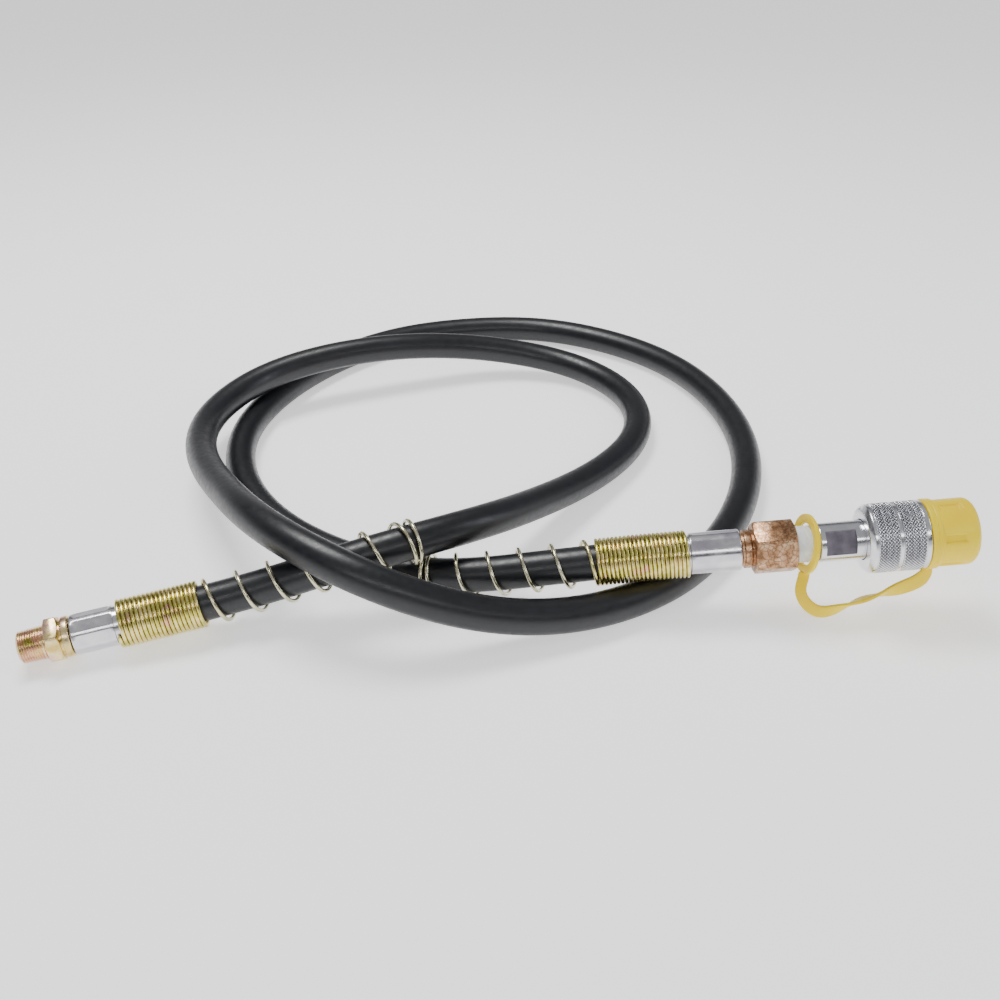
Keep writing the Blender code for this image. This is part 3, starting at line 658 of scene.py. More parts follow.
@dataclass(frozen=True)
class HoseCover:
    """Black rubber cover with the faint weave of its cure tape, and a soft bluish gloss."""

    name: str = "hose_cover_rubber"
    wraps_per_metre: float = 55.0

    def material(self) -> bpy.types.Material:
        """Build the material; the UV map runs round (u) and along the hose in metres (v)."""
        tree = Tree(self.name)
        wear = tree.noise(26.0, 4.0)
        tree.colour(tree.ramp(wear, (
            (0.30, (0.0022, 0.0026, 0.004)), (0.70, (0.006, 0.0068, 0.0095)))))
        fine = tree.noise(2600.0, 3.0)
        weave = tree.noise(1.0, 2.0, (60.0, 1400.0, 1.0), run=True)
        wrap = tree.nodes.new("ShaderNodeTexWave")
        wrap.inputs["Scale"].default_value = self.wraps_per_metre
        wrap.inputs["Distortion"].default_value = 0.6
        wrap.bands_direction = "DIAGONAL"
        turn = tree.nodes.new("ShaderNodeMapping")
        turn.inputs["Scale"].default_value = (0.02, 1.0, 0.0)
        tree.link(tree.place.outputs["UV"], turn.inputs["Vector"])
        tree.link(turn.outputs["Vector"], wrap.inputs["Vector"])
        tree.roughness(tree.spread(tree.noise(420.0, 4.0), 0.30, 0.44))
        height = tree.sum_of(tree.sum_of(fine, weave, 0.6), wrap.outputs["Fac"], 0.25)
        tree.bump(height, 0.00004, 0.35)
        tree.settle(Specular_IOR_Level=0.55)
        return tree.material


@dataclass(frozen=True)
class SealRubber:
    """Plain black rubber with a fine matt skin."""

    name: str = "seal_rubber_matt"

    def material(self) -> bpy.types.Material:
        """Build the material."""
        tree = Tree(self.name)
        patches = tree.noise(300.0, 3.0)
        tree.colour(tree.ramp(patches, (
            (0.3, (0.012, 0.012, 0.012)), (0.7, (0.028, 0.028, 0.028)))))
        tree.roughness(tree.spread(tree.noise(1500.0, 3.0), 0.5, 0.7))
        tree.bump(tree.noise(4000.0, 2.0), 0.00003, 0.4)
        return tree.material


@dataclass(frozen=True)
class BraidWire:
    """Steel wire braid seen as crossing strands."""

    name: str = "braid_wire_steel"

    def material(self) -> bpy.types.Material:
        """Build the material."""
        tree = Tree(self.name)
        strands = tree.noise(900.0, 2.0, (3.0, 1.0, 1.0))
        tree.colour(tree.ramp(strands, ((0.35, (0.22, 0.21, 0.19)), (0.6, (0.62, 0.60, 0.55)))))
        tree.roughness(tree.spread(strands, 0.5, 0.3))
        tree.bump(strands, 0.0002, 0.6)
        tree.settle(Metallic=1.0)
        return tree.material


@dataclass(frozen=True)
class ThreadTapeFinish:
    """White thread-seal tape: thin, slightly see-through, with fine stretch marks."""

    name: str = "thread_tape_white"

    def material(self) -> bpy.types.Material:
        """Build the material."""
        tree = Tree(self.name)
        folds = tree.noise(240.0, 5.0, (3.0, 1.0, 1.0))
        tree.colour(tree.ramp(folds, ((0.3, (0.78, 0.79, 0.80)), (0.6, (0.92, 0.92, 0.93)))))
        tree.roughness(tree.spread(tree.noise(1200.0, 3.0), 0.35, 0.6))
        tree.bump(folds, 0.00025, 0.5)
        tree.settle(Subsurface_Weight=0.25, Subsurface_Scale=0.002)
        return tree.material


@dataclass(frozen=True)
class YellowPlastic:
    """Soft moulded yellow plastic: satin, with flow marks and small scuffs."""

    name: str = "yellow_moulded_plastic"

    def material(self) -> bpy.types.Material:
        """Build the material."""
        tree = Tree(self.name)
        flow = tree.noise(60.0, 3.0)
        tree.colour(tree.ramp(flow, ((0.30, (0.98, 0.68, 0.0)), (0.55, (1.0, 0.74, 0.0)),
                                     (0.80, (1.0, 0.79, 0.0)))))
        tree.roughness(tree.spread(tree.noise(800.0, 4.0), 0.30, 0.46))
        tree.bump(tree.sum_of(tree.noise(2200.0, 3.0), flow, 2.0), 0.00004, 0.3)
        tree.settle(Subsurface_Weight=0.05, Subsurface_Scale=0.002, Specular_IOR_Level=0.4)
        return tree.material


YELLOW_ZINC_TINTS: Stops = (
    (0.28, (0.66, 0.48, 0.14)), (0.44, (0.88, 0.72, 0.36)), (0.58, (0.80, 0.52, 0.40)),
    (0.72, (0.52, 0.48, 0.14)))
BRIGHT_TINTS: Stops = ((0.3, (0.62, 0.62, 0.65)), (0.7, (0.80, 0.81, 0.83)))
FERRULE_TINTS: Stops = (
    (0.3, (0.48, 0.46, 0.54)), (0.5, (0.76, 0.76, 0.78)), (0.7, (0.58, 0.55, 0.61)))
STEEL_TINTS: Stops = ((0.3, (0.48, 0.47, 0.45)), (0.7, (0.66, 0.65, 0.63)))
# painted shade: near-black tints that darken the milled flats
FLAT_SHADE_TINTS: Stops = ((0.3, (0.13, 0.12, 0.145)), (0.7, (0.22, 0.20, 0.235)))


class Finishes:
    """Every material of the assembly, made once."""

    def __init__(self) -> None:
        """Build all materials."""
        self.hose = HoseCover().material()
        self.seal = SealRubber().material()
        self.guard = GuardWire().material()
        self.yellow_zinc = PlatedMetal(
            "yellow_zinc_plate", YELLOW_ZINC_TINTS, (0.18, 0.34)).material()
        self.ferrule = PlatedMetal(
            "ferrule_bright_zinc", FERRULE_TINTS, (0.14, 0.26), 60.0).material()
        self.bright = PlatedMetal(
            "coupler_bright_zinc", BRIGHT_TINTS, (0.12, 0.24), 80.0).material()
        self.knurled = KnurledZinc().material()
        self.steel = PlatedMetal("bare_steel", STEEL_TINTS, (0.25, 0.42)).material()
        # the milled flats' material, darkened with painted shade
        self.milled = PlatedMetal(
            "milled_flat_painted_shade", FLAT_SHADE_TINTS, (0.34, 0.48), 200.0, 1500.0).material()
        self.copper = CopperPlate().material()
        self.braid = BraidWire().material()
        self.tape = ThreadTapeFinish().material()
        self.yellow = YellowPlastic().material()


def paint(piece: bpy.types.Object, finish: bpy.types.Material) -> None:
    """Make a finish the piece's only material."""
    piece.data.materials.clear()
    piece.data.materials.append(finish)


def store_share(piece: bpy.types.Object, name: str, shares: np.ndarray) -> None:
    """Keep one value per vertex in a mesh attribute, for a finish to read."""
    layer = piece.data.attributes.new(name, "FLOAT", "POINT")
    layer.data.foreach_set("value", shares.astype(np.float32))


def dress(piece: bpy.types.Object, finish: bpy.types.Material, body: Body | None, slot: Slot,
          *replaced: str) -> bpy.types.Object:
    """Give a piece its material, its body and the CAD nodes it stands for.

    Args:
        piece: the new object.
        finish: its material.
        body: the rigid body it moves with, or None for a piece left unattached.
        slot: the record's material slot; not used.
        replaced: CAD nodes that it stands for.

    Returns:
        The same piece.
    """
    paint(piece, finish)
    if body is not None:
        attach(piece, body.value)
    if replaced:
        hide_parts(*replaced)
    faces = len(piece.data.polygons)
    LOG.info("%s: %d faces, stands for %s", piece.name, faces, ", ".join(replaced))
    return piece


def finish_node(node: str, finish: bpy.types.Material) -> None:
    """Give a CAD node that stays in view a better material."""
    paint(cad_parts[node], finish)
    LOG.info("%s keeps its CAD mesh", node)


# ---------------------------------------------------------------- hose and spring guards

@dataclass
class Hose:
    """The rubber-covered hose, from inside ferrule A to inside ferrule B.

    The route holds points of its centre line between its two ends, in millimetres.
    """

    radius: float = 7.5
    start_x: float = 10.3
    end_x: float = 27.0
    floor_clear: float = 0.05
    stations: int = 1000
    around: int = 48
    curve_points: int = 2000
    path_points: int = 361
    route: tuple[tuple[float, float, float], ...] = (
        (-102, 3, 17.2), (-57, 11.5, 28.2), (-15.5, 33, 28), (16, 68, 17.4), (46, 106, 9.6),
        (70, 149, 7.7), (70.5, 191.5, 7.7), (43, 228.5, 9.8), (-7, 239, 16.7), (-53, 228, 23.8),
        (-97, 211, 25.8), (-136, 185, 23.2), (-155, 142, 21.6), (-147, 95, 25.4), (-125, 52, 33.2),
        (-98, 13.5, 40.3), (-59, -12.5, 35.7), (-14, -14, 18.5), (31, -3, 8.8), (73, 21, 7.7),
        (102, 58, 7.7), (120, 102, 7.7), (126, 149, 7.7), (119, 196, 7.7), (99, 238, 7.7),
        (65, 271, 7.7), (21, 290, 7.7), (-26, 289, 7.7), (-70, 273, 7.7), (-105, 241, 7.7),
        (-129, 200, 7.7), (-140, 154, 7.7), (-133, 108, 7.7), (-109, 67, 7.7), (-72, 37, 7.9),
        (-28, 19.5, 11.1), (10, 15, 17.5))

    def curve(self) -> np.ndarray:
        """The centre line in millimetres, kept a hose's radius above the floor."""
        start, end = END_A.at(self.start_x), END_B.at(self.end_x)
        points = np.vstack([start, np.array(self.route, float), end])
        line = spline_through(points, END_A.basis()[0], END_B.basis()[0], self.curve_points)
        line[:, 2] = np.maximum(line[:, 2], self.radius + self.floor_clear)
        return line

    def build(self, finish: bpy.types.Material) -> bpy.types.Object:
        """Args:
            finish: the cover's material.

        Returns:
            The hose object.
        """
        line = self.curve()
        at = run_lengths(line)
        wanted = np.linspace(0.0, at[-1], self.stations)
        centres = read_along(line, at, wanted)
        _, sides, ups = carried_frames(centres, np.array([0.0, 0.0, 1.0]))
        skin = sweep(centres, sides, ups, circle_section(self.radius, self.around), sharp=60.0)
        piece = dress(skin.build("hose_tube"), finish, Body.HOSE, Slot.RUBBER, "hose")
        LOG.info("hose length %.0f mm", at[-1])
        return piece


@dataclass
class SpringGuard:
    """A right-hand coil of round wire: close-wound on the ferrule, open along the hose."""

    name: str
    node: str
    close_turns: float
    open_turns: float
    open_pitch: float
    start_turn: float
    close_pitch: float = 1.7
    wire: float = 1.6
    coil_radius: float = 9.2
    ramp: float = 0.5
    end_size: float = 0.72
    spine_step: float = 0.5
    steps_per_turn: int = 40
    around: int = 12

    def places(self) -> tuple[np.ndarray, np.ndarray]:
        """Where the wire is along the guard at each step, and how open its winding is there.

        The pitch is the close one for close_turns, rises over half a turn, stays open, and falls
        back for one last turn; the place along the guard is the sum of pitch / steps_per_turn.
        """
        knots = np.cumsum([0.0, self.close_turns, self.ramp, self.open_turns, self.ramp, 1.0])
        pitches = [self.close_pitch] * 2 + [self.open_pitch] * 2 + [self.close_pitch] * 2
        steps = int(knots[-1] * self.steps_per_turn)
        middles = (np.arange(steps) + 0.5) / self.steps_per_turn
        pitch = np.interp(middles, knots, pitches)
        along = np.concatenate([[0.0], np.cumsum(pitch / self.steps_per_turn)]) + self.wire / 2.0
        share = smooth_step(middles, self.close_turns - 0.2, self.close_turns + 1.0)
        return along, np.concatenate([share[:1], share])

    def build(self, spine: np.ndarray, finish: bpy.types.Material) -> bpy.types.Object:
        """Wind the wire round a spine that runs from the guard's close-wound end.

        Point of the wire's middle = spine point + coil radius * (side cos a + up sin a), with the
        angle a growing by one turn every steps_per_turn steps.

        Args:
            spine: centre line of the ferrule and then the hose, in millimetres.
            finish: the wire's material.

        Returns:
            The guard object.
        """
        along, share = self.places()
        at = run_lengths(spine)
        fine = read_along(spine, at, np.arange(0.0, along[-1] + 2.0, self.spine_step))
        _, sides, ups = carried_frames(fine, np.array([0.0, 0.0, 1.0]))
        fine_at = run_lengths(fine)
        angles = TURN * np.arange(len(along)) / self.steps_per_turn + math.radians(self.start_turn)
        outward = read_along(sides, fine_at, along) * np.cos(angles)[:, None]
        outward = unit(outward + read_along(ups, fine_at, along) * np.sin(angles)[:, None])
        centres = read_along(fine, fine_at, along) + outward * self.coil_radius
        run = unit(np.gradient(centres, axis=0))
        section = circle_section(self.wire / 2.0, self.around)
        size = np.ones(len(centres))
        size[[0, -1]] = self.end_size
        section = section[None] * size[:, None, None]
        skin = sweep(centres, outward, np.cross(run, outward), section)
        piece = skin.build(self.name)
        shares = np.concatenate([np.repeat(share, self.around), share[[0, -1]]])
        store_share(piece, "open_share", shares)
        return dress(piece, finish, Body.HOSE, Slot.YELLOW_ZINC, self.node)


# ---------------------------------------------------------------- fittings of the male end

@dataclass
class MaleEnd:
    """Taper pipe thread, hexagon, collar and barbed tail in one piece, with a bore through it."""

    tip: float = -37.0
    thread_end: float = -27.0
    hexagon_start: float = -26.3
    hexagon_end: float = -20.8
    collar_end: float = -17.1
    flats: float = 17.0
    hexagon_turn: float = 21.0
    pitch: float = 25.4 / 27.0
    crest: float = 6.55
    depth: float = 0.6
    flat_share: float = 0.12
    taper: float = 1.0 / 32.0
    neck: float = 4.6
    columns: int = 144

    def threaded(self, x: np.ndarray, r: np.ndarray, angle: np.ndarray) -> np.ndarray:
        """Cut a helical V groove into the outer rows of the thread.

        Depth = full depth * clipped triangle wave of (x / pitch - angle / turn), faded in over
        0.8 mm near the tip and out over the last 0.9 mm; crests and roots are slightly flat.
        """
        wave = saw((x - self.tip) / self.pitch - angle / TURN)
        wave = np.clip((wave - self.flat_share) / (1.0 - 2.0 * self.flat_share), 0.0, 1.0)
        fade = smooth_step(x, self.tip + 0.5, self.tip + 1.3)
        fade = fade * (1.0 - smooth_step(x, self.thread_end - 0.9, self.thread_end))
        outside = (r > self.crest - 1.2) & (x < self.thread_end + 0.01)
        return np.where(outside, r - self.depth * (1.0 - wave) * fade, r)

    def build(self, finish: bpy.types.Material) -> bpy.types.Object:
        """Make the fitting as one skin: bore, tip, thread, hexagon, collar and tail."""
        lathe = Lathe(END_A, self.columns, self.hexagon_turn)
        front = rounded_outline([
            Corner(self.tip, 3.5, 0.2), Corner(self.tip, 5.5, 0.3),
            Corner(self.tip + 0.9, self.crest, 0.2),
            Corner(self.thread_end, self.crest + 10.0 * self.taper)], closed=False)
        front = refined(front, self.tip + 0.9, self.thread_end, self.pitch / 12.0)
        x0, r0 = lathe.rows(front)
        angle = np.broadcast_to(lathe.angles()[None, :], x0.shape)
        r0 = self.threaded(x0, r0, angle)
        neck = rounded_outline([
            Corner(self.thread_end + 0.1, 6.2), Corner(self.hexagon_start, 6.2)], closed=False)
        x1, r1 = lathe.rows(neck)
        x2, r2 = lathe.hexagon(self.hexagon_start, self.hexagon_end, self.flats, self.hexagon_turn)
        rear = rounded_outline([
            Corner(self.hexagon_end, 7.1, 0.1), Corner(self.hexagon_end + 0.8, 7.1, 0.15),
            Corner(self.hexagon_end + 1.0, 8.35, 0.3), Corner(self.collar_end - 0.5, 8.35, 0.35),
            Corner(self.collar_end, 7.9, 0.2),
            Corner(self.collar_end, self.neck, 0.1), Corner(self.collar_end + 2.0, self.neck, 0.1),
            *tail_corners(self.collar_end + 2.0, 7.5), Corner(7.5, 2.0), Corner(-23.0, 2.0, 0.1),
            Corner(-25.0, 3.5, 0.2)], closed=False, steps=4)
        x3, r3 = lathe.rows(rear)
        skin = lathe.skin(np.vstack([x0, x1, x2, x3]), np.vstack([r0, r1, r2, r3]), sharp=50.0)
        return dress(skin.build("male_end"), finish, Body.HOSE, Slot.YELLOW_ZINC,
                     "male_end_fitting")


def tail_corners(start: float, end: float, barbs: int = 5) -> list[Corner]:
    """Corners of a barbed tail, each barb rising sharply and sloping down towards the hose."""
    pitch, root = (end - start) / barbs, 2.7
    corners: list[Corner] = []
    for index in range(barbs):
        x = start + index * pitch
        corners += [Corner(x, root), Corner(x + 0.12 * pitch, 3.15, 0.1),
                    Corner(x + 0.9 * pitch, root)]
    return corners + [Corner(end, root)]


@dataclass
class Ferrule:
    """A ferrule pressed on the hose by eight jaws, with a plain skirt under the spring guard."""

    name: str
    node: str
    axis: EndAxis
    lock: float
    shoulder: float
    skirt: float
    radius: float
    press: float
    jaws: int = 8
    jaw_turn: float = 8.0
    skirt_radius: float = 7.75
    bore: float = 6.45
    lock_bore: float = 4.9
    lock_length: float = 2.3
    seam_height: float = 0.06
    seam_width: float = 0.025
    columns: int = 192

    def pressed(self, x: np.ndarray, r: np.ndarray, angle: np.ndarray) -> np.ndarray:
        """Press lengthwise flats: r = min(r, (radius - press) / cos(off the jaw's middle)), with
        a fine ridge left where two jaws meet; both fade out towards the ferrule's ends."""
        sector = TURN / self.jaws
        off = (angle - math.radians(self.jaw_turn)) % sector - sector / 2.0
        flat = np.minimum(self.radius, (self.radius - self.press) / np.cos(off))
        near = min(self.lock, self.shoulder) + 0.6
        far = max(self.lock, self.shoulder) - 0.4
        share = smooth_step(x, near, near + 1.6) * (1.0 - smooth_step(x, far - 1.0, far))
        seam = np.exp(-((sector / 2.0 - np.abs(off)) / self.seam_width) ** 2)
        target = flat + self.seam_height * seam
        outside = r > self.radius - 0.35
        return np.where(outside, r + (np.minimum(r, target) - r) * share, r)

    def build(self, finish: bpy.types.Material) -> bpy.types.Object:
        """Make the ferrule from lock to skirt."""
        inner = self.lock + math.copysign(self.lock_length, self.skirt - self.lock)
        outline = rounded_outline([
            Corner(self.lock, self.lock_bore, 0.1), Corner(self.lock, self.radius, 0.9),
            Corner(self.shoulder, self.radius, 0.6), Corner(self.shoulder, self.skirt_radius, 0.1),
            Corner(self.skirt, self.skirt_radius, 0.4), Corner(self.skirt, self.bore, 0.1),
            Corner(inner, self.bore, 0.1), Corner(inner, self.lock_bore, 0.1)], steps=7)
        low, high = sorted((self.lock, self.shoulder))
        outline = refined(outline, low, high, 0.7)
        skin = Lathe(self.axis, self.columns).turned(outline, self.pressed, sharp=50.0)
        return dress(skin.build(self.name), finish, Body.HOSE, Slot.BRIGHT_ZINC, self.node)


# ---------------------------------------------------------------- fittings of the coupler end

@dataclass
class HexEnd:
    """Copper-coloured fitting: barbed tail, grooved collar and hexagon with a threaded socket."""

    collar_start: float = 58.7
    hexagon_start: float = 63.6
    hexagon_end: float = 80.7
    flats: float = 20.0
    hexagon_turn: float = 14.0
    columns: int = 144

    def build(self, finish: bpy.types.Material) -> bpy.types.Object:
        """Make the fitting as one skin from the tail to the socket and back through the bore."""
        lathe = Lathe(END_B, self.columns, self.hexagon_turn)
        tip, base, collar = 29.5, 56.1, self.collar_start
        mirrored = reversed(tail_corners(-base, -tip))
        tail = [Corner(-corner.x, corner.r, corner.rounding) for corner in mirrored]
        front = rounded_outline([
            Corner(tip, 2.0), *tail, Corner(base + 0.3, 4.6, 0.1), Corner(collar, 4.6, 0.1),
            Corner(collar, 7.1, 0.2), Corner(collar + 1.0, 7.1, 0.15),
            Corner(collar + 1.15, 8.0, 0.3), Corner(collar + 3.7, 8.0, 0.5),
            Corner(collar + 4.1, 7.4, 0.2), Corner(self.hexagon_start, 7.4)],
            closed=False, steps=4)
        x0, r0 = lathe.rows(front)
        x1, r1 = lathe.hexagon(self.hexagon_start, self.hexagon_end, self.flats, self.hexagon_turn)
        socket = rounded_outline([
            Corner(self.hexagon_end, 7.7, 0.2), Corner(self.hexagon_end - 0.7, 7.1, 0.1),
            Corner(self.hexagon_end - 12.0, 6.95, 0.1), Corner(self.hexagon_end - 12.0, 2.0, 0.1)],
            closed=False, steps=4)
        x2, r2 = lathe.rows(socket)
        skin = lathe.skin(np.vstack([x0, x1, x2]), np.vstack([r0, r1, r2]), sharp=40.0)
        return dress(skin.build("hex_end"), finish, Body.HOSE, Slot.COPPER, "hex_end_fitting")


@dataclass
class ThreadTape:
    """Thread tape wound on the coupler's tail, its layers stepping along the thread."""

    start: float = 80.95
    end: float = 89.75
    radius: float = 7.5
    layer_pitch: float = 4.2
    layer_height: float = 0.10
    thread_pitch: float = 1.41
    thread_height: float = 0.05
    columns: int = 120

    def layered(self, x: np.ndarray, r: np.ndarray, angle: np.ndarray) -> np.ndarray:
        """Add steps of the wound layers and the thread showing through.

        The layers rise by a clipped ramp of (x / layer pitch - angle / turn); the thread below
        adds a shallow sine of (x / thread pitch - angle / turn); slow waves loosen both.
        """
        wound = (x - self.start) / self.layer_pitch - angle / TURN
        layer = smooth_step(wound - np.floor(wound), 0.0, 0.12) * self.layer_height
        thread = self.thread_height * np.sin(TURN * (x / self.thread_pitch - angle / TURN))
        slack = 0.05 * np.sin(3.0 * angle + 0.9 * x) + 0.03 * np.sin(7.0 * angle - 1.7 * x)
        return np.where(r > 7.2, r + layer + thread + slack, r)

    def build(self, finish: bpy.types.Material) -> bpy.types.Object:
        """Make the wound tape as one sleeve."""
        outline = rounded_outline([
            Corner(self.start, 7.0), Corner(self.start, self.radius - 0.1, 0.2),
            Corner(self.start + 1.5, self.radius, 0.3), Corner(self.end, self.radius - 0.05, 0.35),
            Corner(self.end, 7.0)], steps=4)
        outline = refined(outline, self.start, self.end, 0.18)
        skin = Lathe(END_B, self.columns).turned(outline, self.layered, sharp=60.0)
        return dress(skin.build("wound_tape"), finish, Body.HOSE, Slot.TAPE, "thread_tape")


@dataclass
class CouplerBody:
    """Coupler body: threaded tail, barrel with two milled flats, and the collar's flange."""

    radius: float = 8.2
    flat_half: float = 6.55
    flat_turn: float = 150.0
    flat_from: float = 92.2
    flat_to: float = 104.3
    flange: float = 113.5
    columns: int = 288

    def milled(self, x: np.ndarray, r: np.ndarray, angle: np.ndarray) -> np.ndarray:
        """Mill two opposite flats: r = min(r, flat_half / |cos(off the flat's middle)|)."""
        inside = (x > self.flat_from - 0.001) & (x < self.flat_to + 0.001) & (r > 7.5)
        cosine = np.maximum(np.abs(np.cos(angle - math.radians(self.flat_turn))), 0.2)
        return np.where(inside, np.minimum(r, self.flat_half / cosine), r)

    def build(self, finish: bpy.types.Material, milled: bpy.types.Material) -> bpy.types.Object:
        """Make the body; the faces of the milled flats get a second material, near-black with
        painted shade.
        """
        edge = 0.06
        corners = [
            Corner(70.0, 3.5, 0.2), Corner(70.0, 6.2, 0.3), Corner(71.0, 6.75, 0.2),
            Corner(90.0, 6.75, 0.1), Corner(90.0, self.radius, 0.55),
            Corner(self.flat_from - edge, self.radius), Corner(self.flat_from, self.radius),
            Corner(self.flat_to, self.radius), Corner(self.flat_to + edge, self.radius),
            Corner(self.flange, self.radius, 0.1), Corner(self.flange, 10.8, 0.3),
            Corner(117.0, 10.8, 0.3), Corner(117.0, 7.0, 0.1), Corner(105.0, 7.0, 0.1),
            Corner(105.0, 3.5, 0.1)]
        outline = rounded_outline(corners)
        skin = Lathe(END_B, self.columns).turned(outline, self.milled)
        piece = skin.build("coupler_barrel")
        dress(piece, finish, Body.HOSE, Slot.BRIGHT_ZINC, "coupler_body")
        piece.data.materials.append(milled)
        self.mark_shaded_flats(piece)
        return piece

    def mark_shaded_flats(self, piece: bpy.types.Object) -> None:
        """Give the second material, with its painted shade, to faces whose middle lies nearer the
        axis than the barrel.
        """
        mesh = piece.data
        centres = np.empty(len(mesh.polygons) * 3)
        mesh.polygons.foreach_get("center", centres)
        local = END_B.read(centres.reshape(-1, 3))
        radius = np.hypot(local[:, 1], local[:, 2])
        between = (local[:, 0] > self.flat_from + 0.01) & (local[:, 0] < self.flat_to - 0.01)
        flats = between & (radius > 6.3) & (radius < self.radius - 0.02)
        mesh.polygons.foreach_set("material_index", flats.astype(np.int32))


@dataclass
class CouplerNose:
    """Nose screwed into the body: valve chamber, seat, and a groove for its seal."""

    radius: float = 9.0
    end: float = 146.0
    chamber: float = 5.6

    def build(self, finish: bpy.types.Material) -> bpy.types.Object:
        """Make the nose as one skin round its chamber."""
        outline = rounded_outline([
            Corner(105.4, self.chamber, 0.1), Corner(105.4, 6.7, 0.4), Corner(117.3, 6.7, 0.1),
            Corner(117.3, 7.0, 0.05), Corner(118.3, 7.0, 0.1), Corner(118.3, 8.6, 0.1),
            Corner(117.3, 8.6, 0.05), Corner(117.3, self.radius, 0.2),
            Corner(138.4, self.radius, 0.15), Corner(138.4, 7.6, 0.2),
            Corner(141.0, 7.6, 0.2), Corner(141.0, self.radius, 0.15),
            Corner(self.end, self.radius, 1.0), Corner(self.end, 4.2, 0.3),
            Corner(143.9, 4.2, 0.2), Corner(141.5, self.chamber, 0.3)])
        skin = Lathe(END_B, 96).turned(outline)
        return dress(skin.build("coupler_nose_skin"), finish, Body.HOSE, Slot.BRIGHT_ZINC,
                     "coupler_nose")


@dataclass
class Valve:
    """The valve's moving poppet with its rubber seal, and the seal round the nose."""

    stem: float = 1.5
    ring_x: float = 139.7
    ring_radius: float = 8.6
    ring_wire: float = 0.75

    def build(self, metal: bpy.types.Material, rubber: bpy.types.Material) -> None:
        """Make the poppet, its seal and the nose's O-ring."""
        lathe = Lathe(END_B, 72)
        poppet = rounded_outline([
            Corner(112.0, 0.0), Corner(112.0, self.stem, 0.3), Corner(138.6, self.stem, 0.2),
            Corner(138.6, 4.8, 0.2),
            Corner(139.8, 4.8, 0.2), Corner(139.8, 2.5, 0.1), Corner(141.4, 2.5, 0.1),
            Corner(141.4, 3.8, 0.2), Corner(145.7, 3.8, 0.4), Corner(145.7, 1.2, 0.1),
            Corner(145.3, 1.0, 0.1), Corner(145.3, 0.0)], closed=False)
        poppet[[0, -1], 1] = NEAR_AXIS
        dress(lathe.turned(poppet, loop=False).build("poppet_turned"), metal, Body.POPPET,
              Slot.STEEL, "valve_poppet")
        seal = rounded_outline([
            Corner(140.1, 2.8, 0.1), Corner(140.1, 4.9, 0.3), Corner(141.1, 4.9, 0.3),
            Corner(141.1, 2.8, 0.1)])
        dress(lathe.turned(seal).build("poppet_seal_ring"), rubber, Body.POPPET, Slot.SEAL,
              "poppet_seal")
        ring = circle_section(self.ring_wire, 20) + np.array([self.ring_x, self.ring_radius])
        dress(lathe.turned(ring).build("nose_o_ring"), rubber, Body.HOSE, Slot.SEAL, "nose_seal")


